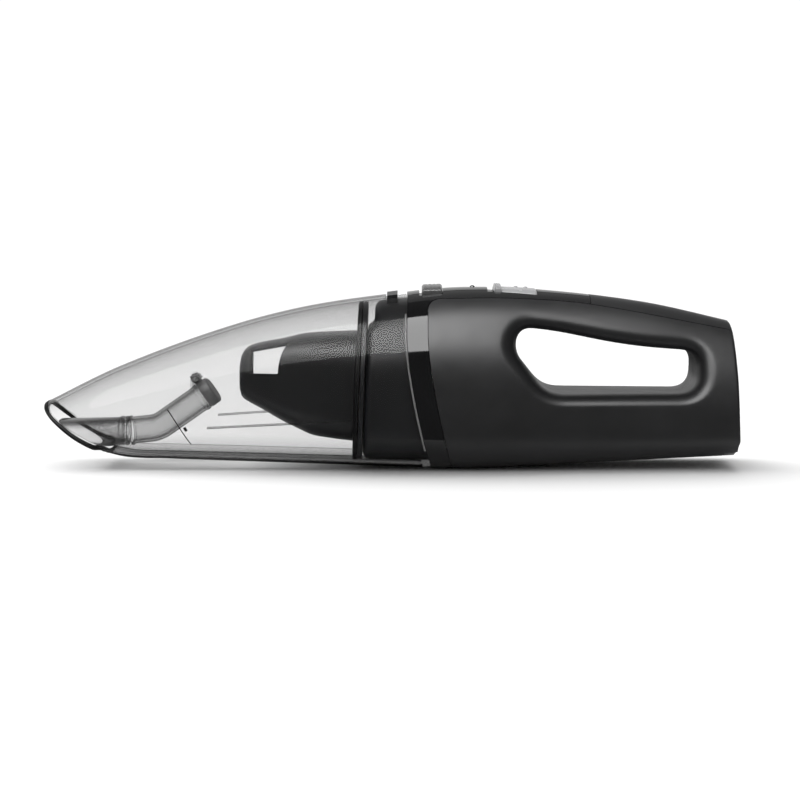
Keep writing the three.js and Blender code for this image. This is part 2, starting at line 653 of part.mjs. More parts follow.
function releaseLever() {
  const { x, z } = LEVER_PIVOT;
  const arm = box(-1.1, x, -7.5, 7.5, z - 1.6, z + 1.2).add(bar("y", 3, -9.4, 9.4, [x, z], 18));
  const stem = box(21, 28, -7.5, 7.5, z, 98.6);
  const wide = bodyLoft(-1.3, -14, 20, 6).intersect(box(-1.1, 4.9, -15.8, 15.8, 93, 110));
  const hook = wide.subtract(sideSlab([[-2, 98.4], [-2, 110], [1.4, 110]]));
  return arm.add(stem).add(hook).subtract(bar("y", 1.8, -14, 14, [x, z], 14));
}

const latchPin = () => bar("y", 1.5, -13.2, 13.2, [LEVER_PIVOT.x, LEVER_PIVOT.z], 14);

const SPRING = { x: 26, foot: 83.5, height: 7.6, radius: 3, wire: 0.45, turns: 4 };

function latchSpring() {
  const count = SPRING.turns * 8;
  const points = Array.from({ length: count + 1 }, (_, i) => {
    const angle = (i * Math.PI) / 4;
    const [x, y] = [SPRING.x + SPRING.radius * Math.cos(angle), SPRING.radius * Math.sin(angle)];
    return [x, y, SPRING.foot + (SPRING.height * i) / count];
  });
  return wire(points, SPRING.wire, SPRING.turns * 9);
}

// The button's cap: crowned like the body, with finger ribs across it.
function releaseButton() {
  const { from, to, halfWidth, top } = BUTTON;
  const crown = bodyLoft(-2.9, 0, 60, 8).intersect(box(from, to, -halfWidth, halfWidth, 97, top + 2));
  const side = [[from, 96], [from, top - 1], [from + 1, top], [to - 1, top + 0.2], [to, top - 0.8], [to, 96]];
  let cap = crown.intersect(sideSlab(side)).subtract(bodyLoft(3.4, 0, 60, 8));
  for (const x of [3, 5.4, 7.8]) {
    cap = cap.subtract(box(from + x, from + x + 0.8, -11, 11, top - 0.6, top + 3)); // a finger groove
  }
  return cap.subtract(box(20.7, 28.3, -7.8, 7.8, 90, 98.9));
}

function switchKnob() {
  const { from, to, halfWidth } = SWITCH;
  let knob = bodyLoft(-0.2, 40, 100, 8).intersect(box(from, to, -halfWidth, halfWidth, 90, 110));
  knob = knob.subtract(bodyLoft(2.1, 40, 100, 8));
  const grip = [[from, 98], [from, 103.6], [from + 0.8, 104.1], [from + 3.6, 104.1], [from + 4.6, 98]];
  knob = knob.add(sideSlab(grip, -13, 13));
  for (const x of [72.6, 78.2]) knob = knob.add(bar("z", 1.3, 99, 102.5, [x, 0], 12));
  return knob.add(box(68, 72, -3, 3, 93, 100));
}

const ledLens = () => {
  const body = bar("z", 1.6, 96, 101.6, [LED_X, 0], 16);
  const dome = new THREE.SphereGeometry(1.6, 16, 8).translate(LED_X, 0, 101.5);
  return body.add(fromGeometry(dome));
};

function shellScrew(index) {
  const [x, z] = SCREWS[index];
  const seat = halfWidthAt(x, z) - 6;
  const head = bar("y", 2.8, seat + 0.2, seat + 2.4, [x, z], 12);
  const slot = box(x - 2, x + 2, seat + 1.4, seat + 3, z - 0.4, z + 0.4).add(
    box(x - 0.4, x + 0.4, seat + 1.4, seat + 3, z - 2, z + 2),
  );
  return head.add(bar("y", 1.35, -10, seat + 1, [x, z], 8)).subtract(slot);
}

// ---- the assembly ----

const vacuum = new THREE.Group();
vacuum.name = "handheld_vacuum";

function addGroup(name, pieces) {
  const group = new THREE.Group();
  group.name = name;
  for (const [pieceName, solid, material] of pieces) {
    const mesh = solid.getMesh();
    const geometry = new THREE.BufferGeometry();
    geometry.setAttribute("position", new THREE.BufferAttribute(new Float32Array(mesh.vertProperties), 3));
    geometry.setIndex(new THREE.BufferAttribute(new Uint32Array(mesh.triVerts), 1));
    geometry.computeVertexNormals();
    const piece = new THREE.Mesh(geometry, material);
    piece.name = pieceName;
    group.add(piece);
  }
  vacuum.add(group);
}

addGroup("bowl", [
  ["dust_bowl", dustBowl(), paint.clear],
  ["mouth_lip", mouthLip(), paint.rubber],
  ["intake_funnel", intakeFunnel(), paint.smokedDuct],
  ["duct_seal_ring", ductSealRing(), paint.rubber],
  ["intake_elbow", intakeElbow(), paint.smokedDuct],
  ["flap_hinge_pin", flapHingePin(), paint.steel],
]);
addGroup("flap", [["intake_flap", intakeFlap(), paint.flap]]);
addGroup("filter", [
  ["filter_hood", filterHood(), paint.filterPlastic],
  ["filter_gasket", filterGasket(), paint.rubber],
  ["filter_flange", filterFlange(), paint.filterPlastic],
  ["pleated_filter", pleatedFilter(), paint.paper],
]);
addGroup("housing", [
  ["left_shell", sideShell(-1), paint.matteShell],
  ["right_shell", sideShell(1), paint.matteShell],
  ["front_collar", frontCollar(), paint.glossBlack],
  ["rear_top_trim", rearTopTrim(), paint.matteShell],
  ["rear_contact_block", rearContactBlock(), paint.glossBlack],
  ["charge_contact_left", chargeContact(-1), paint.brass],
  ["charge_contact_right", chargeContact(1), paint.brass],
  ["led_lens", ledLens(), paint.glossBlack],
  ["latch_pin", latchPin(), paint.steel],
  ["latch_spring", latchSpring(), paint.steel],
  ...SCREWS.map((_, i) => ["shell_screw_" + (i + 1), shellScrew(i), paint.steel]),
]);
addGroup("motor", [
  ["motor_bulkhead", motorBulkhead(), paint.glossBlack],
  ["fan_cover", fanCover(), paint.filterPlastic],
  ["fan_housing", fanHousing(), paint.filterPlastic],
  ["motor_can", motorCan(), paint.steel],
  ["motor_end_cap", motorEndCap(), paint.filterPlastic],
  ["motor_damper", motorDamper(), paint.rubber],
]);
addGroup("rotor", [
  ["motor_shaft", motorShaft(), paint.steel],
  ["impeller", impeller(), paint.filterPlastic],
]);
addGroup("electrics", [
  ["battery_tray", batteryTray(), paint.filterPlastic],
  ...[0, 1, 2].map((i) => ["battery_cell_" + (i + 1), batteryCell(i), paint.cell]),
  ["charge_board", chargeBoard(), paint.board],
  ["motor_lead_left", motorLead(-1), paint.rubber],
  ["motor_lead_right", motorLead(1), paint.rubber],
  ["exhaust_foam", exhaustFoam(), paint.foam],
  ["switch_body", switchBody(), paint.filterPlastic],
]);
addGroup("release", [
  ["release_lever", releaseLever(), paint.filterPlastic],
  ["release_button", releaseButton(), paint.greyButton],
]);
addGroup("switch", [["switch_knob", switchKnob(), paint.paleSwitch]]);

export default vacuum;
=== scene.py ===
"""Cordless wet and dry handheld vacuum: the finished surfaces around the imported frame.

Sizes are in millimetres and become metres when a mesh is made. The nose is at -X, and the near side at -Y.
"""
import json
import math

import bmesh
import bpy
import numpy as np
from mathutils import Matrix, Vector, geometry


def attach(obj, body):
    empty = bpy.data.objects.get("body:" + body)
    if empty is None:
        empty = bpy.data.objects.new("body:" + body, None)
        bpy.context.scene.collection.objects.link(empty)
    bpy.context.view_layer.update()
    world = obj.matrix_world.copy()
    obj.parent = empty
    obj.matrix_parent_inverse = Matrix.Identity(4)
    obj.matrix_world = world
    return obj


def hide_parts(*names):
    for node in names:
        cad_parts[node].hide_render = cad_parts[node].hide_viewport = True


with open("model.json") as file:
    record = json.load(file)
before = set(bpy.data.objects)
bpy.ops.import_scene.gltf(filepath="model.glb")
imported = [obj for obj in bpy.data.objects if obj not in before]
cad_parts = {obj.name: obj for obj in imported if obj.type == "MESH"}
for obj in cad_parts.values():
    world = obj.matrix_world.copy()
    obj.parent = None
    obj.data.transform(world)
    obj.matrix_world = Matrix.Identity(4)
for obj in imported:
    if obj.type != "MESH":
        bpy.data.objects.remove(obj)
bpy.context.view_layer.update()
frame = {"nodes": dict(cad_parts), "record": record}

# ---- driving sizes ----
MM = 0.001
GAP = 0.3  # between neighbouring pieces
SHELL_WALL = 2.4
BOWL_WALL = 2.2
OVERRUN = 0.8  # how far the egg-shaped sections dip under the flat underside
PAD = (29, 47)  # the flat pad under the motor, from x to x
BOWL_SEAM_X = 10.4  # where the bowl's rear edge is upright
SPINE_SPLIT_X = 114.7
FLARE_REACH, FLARE_DEPTH = 10, 14  # rounding of the handle opening, in its plane and across
MOTOR_Z = 44
BASKET_TILT = 0.042
LED_X = 47.8
BUTTON = dict(start=18.9, end=30.3, half=18.0, swing=1.6)
SWITCH = dict(start=59.8, end=84.2, half=15.0, travel=3.4)
CONTACT_X, CONTACT_HALF, CONTACT_TOP = 189.5, 30, 13
ARC_SAMPLES = 240  # along half a section
MESH_STEP = 2.0  # usual spacing of a surface's points
QUARTER = math.pi / 2
EDGE_ANGLES = np.linspace(0, QUARTER, 7)[1:]  # round an edge


# ---- curves ----

def curve_through(*points):
    """A smooth function through points (x, value), carried on straight past its ends."""
    xs, ys = np.array(points, float).T
    order = np.arange(len(xs))
    before, after = np.maximum(order - 1, 0), np.minimum(order + 1, len(xs) - 1)
    slope = (ys[after] - ys[before]) / (xs[after] - xs[before])

    def at(x):
        x = np.asarray(x, float)
        i = np.clip(np.searchsorted(xs, x, side="right") - 1, 0, len(xs) - 2)
        h = xs[i + 1] - xs[i]
        t = np.clip((x - xs[i]) / h, 0, 1)
        rise = t * t * (3 - 2 * t)
        curve = (1 - rise) * ys[i] + rise * ys[i + 1]
        curve = curve + h * t * (1 - t) * ((1 - t) * slope[i] - t * slope[i + 1])
        return curve + slope[0] * np.minimum(x - xs[0], 0) + slope[-1] * np.maximum(x - xs[-1], 0)

    return at


top_line = curve_through((-198, 35.5), (-155, 56.5), (-95, 78.6), (-47, 91.1), (11, 99.4), (43, 102),
                         (85, 100.7), (146, 93.5), (198, 82))
side_width = curve_through((-198, 27), (-150, 37), (-100, 43.5), (-50, 48), (10, 50.5), (60, 49),
                           (110, 43), (160, 38), (198, 35))
widest_height = curve_through((-198, 18), (-150, 26), (-100, 34), (-50, 40), (10, 44), (60, 42),
                              (110, 35), (198, 27))
upper_power = curve_through((-198, 2.6), (-100, 2.4), (10, 2.3), (110, 2.1), (198, 2))
lower_power = curve_through((-198, 3), (-50, 3.2), (10, 3.4), (110, 4), (198, 4.2))
spine_edge = curve_through((30, 96.4), (70, 96.4), (115, 92.8), (196, 77.9))

HANDLE_CORNERS = [(89.6, 42.8, 9), (174.7, 42.8, 10), (174.7, 66.3, 8), (136, 69.3, 20), (94, 78, 10),
                  (73.6, 80.4, 7), (70.2, 67.5, 7)]
MOUTH_POINTS = [(-197.2, 38), (-196.7, 34), (-190.4, 26.5), (-179, 17.2), (-166, 10.2), (-152, 6.2),
                (-140, 5.3)]
REAR_FACE = [(13, 197.2), (15.5, 198.2), (50, 197.2), (77, 195.8), (84, 195.2)]  # z and x


def spline_points(points, steps):
    """Points along a Catmull-Rom spline."""
    p = np.array(points, float)
    p = np.vstack([p[:1], p, p[-1:]])
    t = np.linspace(0, 1, steps, endpoint=False)[:, None]
    parts = []
    for a, b, c, d in zip(p, p[1:], p[2:], p[3:]):
        v0, v1 = (c - a) / 2, (d - b) / 2
        parts.append((2 * b - 2 * c + v0 + v1) * t**3 + (-3 * b + 3 * c - 2 * v0 - v1) * t**2 + v0 * t + b)
    return np.vstack([*parts, p[-1:]])


def bezier(a, b, c, steps):
    t = np.linspace(0, 1, steps + 1)[:, None]
    a, b, c = (np.array(p, float) for p in (a, b, c))
    return (1 - t) ** 2 * a + 2 * t * (1 - t) * b + t**2 * c


def turns(count):
    """Angles evenly round a circle."""
    return np.linspace(0, 2 * math.pi, count, endpoint=False)


def columns(*parts):
    return np.column_stack(parts)


def unit(rows):
    return rows / np.linalg.norm(rows, axis=1)[:, None]


def headings(points):
    """The direction of a line at each of its points, at length one."""
    return unit(np.gradient(points, axis=0))


def whole(half_outline):
    """A closed outline of (y, z) from its half, whose ends lie on the middle plane."""
    return np.vstack([half_outline, (half_outline * (-1, 1))[-2:0:-1]])


def spaced(points, step):
    """The same line with its points about one step apart."""
    points = np.array(points, float)
    length = np.concatenate([[0], np.cumsum(np.linalg.norm(np.diff(points, axis=0), axis=1))])
    at = np.linspace(0, length[-1], max(int(round(length[-1] / step)), 1) + 1)
    return columns(*[np.interp(at, length, points[:, k]) for k in range(points.shape[1])])


def floor_line(x):
    """The underside: a shallow V with the flat pad at its apex."""
    x = np.asarray(x, float)
    return np.clip(PAD[0] - x, 0, 159) * 0.0315 + np.maximum(x - PAD[1], 0) * 0.0483


mouth_line = spline_points(MOUTH_POINTS, 24)
mouth_foot = curve_through((-171, 12.9), (-166, 10.2), (-152, 6.2), (-140, 5.1), (-128, 4.95))


def under_line(x):
    """The lowest line of the form: the mouth's foot ahead, then the underside."""
    floor, start = floor_line(x), np.clip((np.asarray(x, float) + 168) / 6, 0, 1)
    return floor + start**2 * (3 - 2 * start) * np.maximum(mouth_foot(x) - floor, 0) * (np.asarray(x) < -128)


def bowl_seam(z):
    """The rear edge of the bowl in side view: upright above, raked back below."""
    return BOWL_SEAM_X + 12.6 * (np.maximum(75 - np.asarray(z, float), 0) / 70) ** 1.45


def collar_seam(z):
    return bowl_seam(z) + 11.6


def rear_x(z):
    return np.interp(z, *zip(*REAR_FACE))


def handle_outline():
    """The handle opening in side view, with the outward direction at each point."""
    corners = [np.array(c[:2], float) for c in HANDLE_CORNERS]
    points = []
    for i, (_, _, reach) in enumerate(HANDLE_CORNERS):
        here, last, following = corners[i], corners[i - 1], corners[(i + 1) % len(corners)]
        start = here + (last - here) * reach / np.linalg.norm(last - here)
        end = here + (following - here) * reach / np.linalg.norm(following - here)
        points.append(bezier(start, here, end, 12))
    loop = np.vstack([*points, points[0][:1]])
    loop = spaced(loop, 1.6)[:-1]
    for _ in range(3):  # softens the joins between the straight stretches and the corners
        loop = (np.roll(loop, 1, 0) + 2 * loop + np.roll(loop, -1, 0)) / 4
    along = unit(np.roll(loop, -1, 0) - np.roll(loop, 1, 0))
    return loop, columns(along[:, 1], -along[:, 0])


# ---- lofted forms ----

def egg(half, up, down, c, s, power_up, power_down):
    power = np.where(s >= 0, power_up, power_down)
    reach = np.where(s >= 0, up, down)
    return half * np.sign(c) * np.abs(c) ** (2 / power), reach * np.sign(s) * np.abs(s) ** (2 / power)


def around(half, half_height, power, count):
    """Points (y, z) all round an oval, about its own centre."""
    angle = turns(count)
    return egg(half, half_height, half_height, np.cos(angle), np.sin(angle), power, power)


def body_section(inset=0.0):
    """The vacuum's outer form, drawn in by the inset."""

    def section(x, c, s):
        middle, floor = widest_height(x), under_line(x)
        down = middle - floor - inset if inset > 0 else middle - floor + OVERRUN
        up = top_line(x) - inset - middle
        y, z = egg(side_width(x) - inset, up, down, c, s, upper_power(x), lower_power(x))
        rise = middle + z - floor - max(inset, 0)
        return y, floor + max(inset, 0) + (rise + np.sqrt(rise**2 + 0.04)) / 2

    return section


HOOD = np.array([(-85.1, 43, 59, 16), (-84, 39.4, 64, 19), (-80.5, 36.8, 67.8, 21.5),
                 (-72.5, 32.4, 70.2, 24), (-61, 25.8, 72.2, 27), (-51, 21, 74.6, 30), (-44, 17.9, 75.4, 32),
                 (-33, 16, 76, 34), (-21.2, 14.6, 76.4, 36)])  # x, lowest, highest and half width
hood_low, hood_high, hood_half = (curve_through(*HOOD[:, [0, k]]) for k in (1, 2, 3))


def hood_section(x, c, s):
    half = (hood_high(x) - hood_low(x)) / 2
    y, z = egg(hood_half(x), half, half, c, s, 4, 4)
    return y, z + (hood_high(x) + hood_low(x)) / 2


class Form:
    """A form alike on both sides. A place on it is x and the arc: the way round from its widest line."""

    def __init__(self, section):
        self.section = section

    def rows(self, x):
        angle = np.linspace(-QUARTER, QUARTER, ARC_SAMPLES + 1)[None]
        y, z = self.section(np.atleast_1d(np.asarray(x, float))[:, None], np.cos(angle), np.sin(angle))
        y = np.where(y < 1e-3, 0, y)
        length = np.cumsum(np.hypot(np.diff(y), np.diff(z)), 1)
        arc = np.concatenate([np.zeros((len(y), 1)), length], 1)
        return y, z, arc - arc[:, ARC_SAMPLES // 2, None]

    def points(self, places):
        """The near side's points at places (x, arc)."""
        places = np.asarray(places, float)
        ys, zs, arcs = self.rows(places[:, 0])
        rows = np.arange(len(places))
        i = np.clip((arcs <= places[:, 1, None]).sum(1) - 1, 0, ARC_SAMPLES - 1)
        a, b = arcs[rows, i], arcs[rows, i + 1]
        t = np.clip((places[:, 1] - a) / np.maximum(b - a, 1e-9), 0, 1)
        y = ys[rows, i] * (1 - t) + ys[rows, i + 1] * t
        z = zs[rows, i] * (1 - t) + zs[rows, i + 1] * t
        return columns(places[:, 0], -y, z)

    def ends(self, x, top):
        """The arc at the section's middle line, at the top or the bottom."""
        return self.rows(x)[2][:, -1 if top else 0]

    def by_height(self, side_points):
        """Places of points (x, z) of the side view."""
        side_points = np.asarray(side_points, float)
        _, zs, arcs = self.rows(side_points[:, 0])
        arc = [np.interp(z, zr, ar) for z, zr, ar in zip(side_points[:, 1], zs, arcs)]
        return columns(side_points[:, 0], arc)

    def by_width(self, x, y, top):
        """Places at a distance y from the middle plane, on the upper or the lower half."""
        x = np.atleast_1d(np.asarray(x, float))
        ys, _, arcs = self.rows(x)
        half = slice(ARC_SAMPLES // 2, None) if top else slice(0, ARC_SAMPLES // 2 + 1)
        turn = slice(None, None, -1) if top else slice(None)
        arc = [np.interp(y, yr[half][turn], ar[half][turn]) for yr, ar in zip(ys, arcs)]
        return columns(x, arc)


outer = Form(body_section())
hood_form = Form(hood_section)


def half_width(x, z, inset=0.0):
    """Half the body's width at a place of its side."""
    middle = widest_height(x)
    above = z >= middle
    reach = np.where(above, top_line(x) - inset - middle, middle - floor_line(x) + OVERRUN - inset)
    power = np.where(above, upper_power(x), lower_power(x))
    part = np.minimum(np.abs(z - middle) / reach, 1)
    return (side_width(x) - inset) * (1 - part**power) ** (1 / power)


def crown(x, y, inset=0.0):
    """The height of the body's top at a distance y from its middle plane."""
    middle, power = widest_height(x), upper_power(x)
    part = np.minimum(np.abs(y) / (side_width(x) - inset), 1)
    return middle + (top_line(x) - inset - middle) * (1 - part**power) ** (1 / power)


# ---- blocks of mesh: an array of points and a list of faces ----

def within(points, outline):
    """Which points lie inside a closed outline."""
    a, b = outline, np.roll(outline, -1, 0)
    x, y = points[:, 0, None], points[:, 1, None]
    crosses = (a[:, 1] > y) != (b[:, 1] > y)
    height = np.where(b[:, 1] == a[:, 1], 1, b[:, 1] - a[:, 1])
    return (crosses & (x < a[:, 0] + (y - a[:, 1]) * (b[:, 0] - a[:, 0]) / height)).sum(1) % 2 == 1


def away_from(points, outline):
    """The distance of each point from a closed outline."""
    a = outline[None]
    d = np.roll(outline, -1, 0)[None] - a
    q = points[:, None] - a
    t = np.clip((q * d).sum(2) / np.maximum((d * d).sum(2), 1e-12), 0, 1)
    return np.linalg.norm(q - d * t[..., None], axis=2).min(1)


def fill(loop, holes=(), step=MESH_STEP):
    """Triangles over a flat region: its outlines' own points, and a staggered lattice between them."""
    rims = [np.asarray(r, float) for r in (loop, *holes)]
    low, high = rims[0].min(0), rims[0].max(0)
    rows = np.arange(low[1], high[1] + step, step * 0.866)
    columns = np.arange(low[0] - step, high[0] + step, step)
    lattice = np.array([(x + step / 2 * (j % 2), y) for j, y in enumerate(rows) for x in columns])
    keep = within(lattice, rims[0])
    for hole in rims[1:]:
        keep &= ~within(lattice, hole)
    lattice = lattice[keep]
    clear = np.min([away_from(lattice, r) for r in rims], axis=0) > step * 0.5
    points = np.vstack([*rims, lattice[clear]])
    edges, first = [], 0
    for rim in rims:
        edges += [(first + i, first + (i + 1) % len(rim)) for i in range(len(rim))]
        first += len(rim)
    made = geometry.delaunay_2d_cdt([Vector(p) for p in points], edges, [], 0, 1e-6)
    places = np.array([p[:] for p in made[0]])
    faces = np.array(made[2])
    centres = places[faces].mean(1)
    inside = within(centres, rims[0])
    for hole in rims[1:]:
        inside &= ~within(centres, hole)
    return places, [tuple(f) for f in faces[inside]]


def rings(rows, closed=True, cap_start=False, cap_end=False):
    """Walls between rows of points; the rows may be closed rings, and the end ones may be filled."""
    rows = np.asarray(rows, float)
    count, size = rows.shape[:2]
    faces = []
    for r in range(count - 1):
        for i in range(size if closed else size - 1):
            j = (i + 1) % size
            faces.append((r * size + i, r * size + j, (r + 1) * size + j, (r + 1) * size + i))
    if cap_start:
        faces.append(tuple(range(size)))
    if cap_end:
        faces.append(tuple(range((count - 1) * size, count * size)))
    return rows.reshape(-1, 3), faces


def mirrored(block):
    points, faces = block
    return points * (1, -1, 1), [tuple(reversed(f)) for f in faces]


def both_sides(*blocks):
    return [*blocks, *map(mirrored, blocks)]


def new_object(name, data):
    obj = bpy.data.objects.new(name, data)
    bpy.context.scene.collection.objects.link(obj)
    return obj


def piece(name, blocks, body, look, wall=0, edge=0, slot=None, sharp=35, outward=True, inner=None):
    """One visible piece: its blocks welded, given a wall and softened edges, riding on a body.

    It stands for the CAD node of its name, where there is one. Its slot argument is not used.
    Faces are turned outwards, or only made to agree (outward False), or left as they are (None).
    """
    stands_for = [name] if name in frame["nodes"] else []
    slot = slot or look
    mesh = bpy.data.meshes.new(name)
    bm = bmesh.new()
    for points, faces in blocks:
        made = [bm.verts.new(Vector(p) * MM) for p in points.tolist()]
        for face in faces:
            try:
                bm.faces.new([made[i] for i in face])
            except ValueError:
                continue
    bmesh.ops.remove_doubles(bm, verts=bm.verts, dist=3e-6)
    bmesh.ops.dissolve_degenerate(bm, edges=bm.edges, dist=1e-7)
    bmesh.ops.delete(bm, geom=[v for v in bm.verts if not v.link_faces], context="VERTS")
    if outward is not None:
        bmesh.ops.recalc_face_normals(bm, faces=bm.faces)
    if outward:
        middle = sum((f.calc_center_median() * f.calc_area() for f in bm.faces), Vector())
        middle /= sum(f.calc_area() for f in bm.faces)
        if sum((f.calc_center_median() - middle).dot(f.normal) * f.calc_area() for f in bm.faces) < 0:
            bmesh.ops.reverse_faces(bm, faces=bm.faces)
    bm.to_mesh(mesh)
    bm.free()
    mesh.shade_smooth()
    obj = new_object(name, mesh)
    if wall:
        solid = obj.modifiers.new("wall", "SOLIDIFY")
        solid.thickness, solid.offset = wall * MM, -1
    if edge:
        soft = obj.modifiers.new("edge", "BEVEL")
        soft.width, soft.segments, soft.limit_method = edge * MM, 3, "ANGLE"
        soft.angle_limit, soft.use_clamp_overlap = math.radians(sharp), True
        obj.modifiers.new("normals", "WEIGHTED_NORMAL").keep_sharp = False
    elif not wall:
        mesh.set_sharp_from_angle(angle=math.radians(sharp))
    mesh.materials.append(looks[look])
    if inner:
        mesh.materials.append(looks[inner])
        solid.material_offset = 1
    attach(obj, body)
    if stands_for:
        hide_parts(*stands_for)


# ---- materials ----

class Graph:
    """The nodes of a material or of the world."""

    def __init__(self, owner):
        owner.use_nodes = True
        self.tree = owner.node_tree
        self.tree.nodes.clear()

    def add(self, kind, inputs=(), **settings):
        """A new node. Its inputs are given values, or the outputs of other nodes."""
        node = self.tree.nodes.new("ShaderNode" + kind)
        for name, value in settings.items():
            setattr(node, name, value)
        for name, value in dict(inputs).items():
            if isinstance(value, bpy.types.NodeSocket):
                self.tree.links.new(value, node.inputs[name])
            else:
                node.inputs[name].default_value = value
        return node


def noise(graph, scale, detail=2.0, stretch=(1, 1, 1)):
    """Object-space noise at a number of lumps per metre."""
    place = graph.add("TexCoord").outputs["Object"]
    size = graph.add("Mapping", {"Scale": stretch, "Vector": place}).outputs["Vector"]
    return graph.add("TexNoise", {"Scale": scale, "Detail": detail, "Vector": size}).outputs["Fac"]


def mapped(graph, value, low, high):
    ends = {"From Min": 0.3, "From Max": 0.7, "To Min": low, "To Max": high}
    return graph.add("MapRange", {**ends, "Value": value}).outputs["Result"]


def tones(graph, value, dark, light):
    share = mapped(graph, value, 0, 1)
    colours = {"A": (*dark, 1), "B": (*light, 1)}
    return graph.add("Mix", {**colours, "Factor": share}, data_type="RGBA").outputs["Result"]


def grain(graph, scale, height, stretch=(1, 1, 1)):
    """A fine moulded grain as a bump, height in millimetres."""
    lumps = noise(graph, scale, 3.0, stretch)
    return graph.add("Bump", {"Strength": 1.0, "Distance": height * MM, "Height": lumps}).outputs["Normal"]


def solid_look(name, dark, light, rough, tone_scale=40, grain_scale=2500, grain_height=0.0, metal=0.0,
               specular=0.5, coat=0.0, stretch=(1, 1, 1)):
    """Moulded plastic, rubber or metal: uneven tone and polish, and a grain where it has one."""
    material = bpy.data.materials.new(name)
    graph = Graph(material)
    inputs = {
        "Base Color": tones(graph, noise(graph, tone_scale), dark, light),
        "Roughness": mapped(graph, noise(graph, tone_scale * 3, 4.0, stretch), *rough),
        "Metallic": metal,
        "Specular IOR Level": specular,
        "Coat Weight": coat,
        "Coat Roughness": 0.04,
    }
    if grain_height:
        inputs["Normal"] = grain(graph, grain_scale, grain_height, stretch)
    shader = graph.add("BsdfPrincipled", inputs)
    graph.add("OutputMaterial", {"Surface": shader.outputs["BSDF"]})
    return material


def by_angle(graph, stops):
    """A value that changes with how edge-on the surface is: stops are (edge-on share, value)."""
    weight = graph.add("LayerWeight", {"Blend": 0.5})
    ramp = graph.add("ValToRGB", {"Fac": weight.outputs["Facing"]})
    for i, (place, value) in enumerate(stops):
        stop = ramp.color_ramp.elements[i] if i < 2 else ramp.color_ramp.elements.new(place)
        stop.position, stop.color = place, (value, value, value, 1)
    return ramp.outputs["Color"]


def clear_look(name, solidity, tint, base, rough, specular=0.5):
    """Clear plastic: what is behind shows through it, less so edge-on, under a polished skin."""
    material = bpy.data.materials.new(name)
    graph = Graph(material)
    through = graph.add("BsdfTransparent", {"Color": by_angle(graph, tint)})
    skin = graph.add("BsdfPrincipled", {
        "Base Color": tones(graph, noise(graph, 18), grey(base * 0.9), grey(base)),
        "Roughness": mapped(graph, noise(graph, 30), *rough),
        "Specular IOR Level": specular,
    })
    share = by_angle(graph, solidity)
    mix = graph.add("MixShader", {"Fac": share, 1: through.outputs["BSDF"], 2: skin.outputs["BSDF"]})
    graph.add("OutputMaterial", {"Surface": mix.outputs["Shader"]})
    return material


def grey(value, blue=1.0):
    return (value, value, value * blue)


# Each stop is (edge-on share, value); a ramp's two ends come first.
FAINT_TINT = [(0, 1.0), (1, 0.9)]
DUCT_TINT = [(0, 0.98), (1, 0.3), (0.5, 0.92), (0.85, 0.7)]
DUCT_SKIN = DUCT_TINT, 0.07, (0.08, 0.14)
BOWL_SKIN = 0.02, (0.015, 0.03)
CLEAR_LOOKS = {  # solidity, tint, base tone, roughness, specular
    "clear_bowl": ([(0, 0.17), (1, 0.99), (0.25, 0.2), (0.5, 0.26), (0.75, 0.42), (0.86, 0.8), (0.94, 0.97)],
                   [(0, 1.0), (1, 0.5), (0.85, 0.97)], *BOWL_SKIN),
    "clear_inner": ([(0, 0.01), (1, 0.4), (0.86, 0.03), (0.91, 0.25)], FAINT_TINT, *BOWL_SKIN),
    "clear_rail": ([(0, 0.25), (1, 0.9), (0.5, 0.4)], [(0, 0.9), (1, 0.5)], 0.05, (0.03, 0.06)),
    # painted highlight: a pale base colour for the bright line along the bowl's rear edge
    "painted_glint_rim": ([(0, 0.4), (1, 0.8)], FAINT_TINT, 0.42, (0.1, 0.2)),
    "smoked_duct": ([(0, 0.17), (1, 0.97), (0.4, 0.3), (0.7, 0.7), (0.88, 0.93)], *DUCT_SKIN),
    # painted shade: a near-black skin, solid edge-on, for the dark line along the bowl's bottom; partly
    # solid from above to deepen the shadow under the bowl
    "painted_edge_shade": ([(0, 0.35), (1, 1.0), (0.5, 0.05), (0.725, 0.06), (0.75, 0.98)],
                  FAINT_TINT, 0.003, (0.4, 0.5), 0.05),
    "smoked_elbow": ([(0, 0.13), (1, 0.97), (0.5, 0.2), (0.72, 0.42), (0.86, 0.9)], *DUCT_SKIN),
}
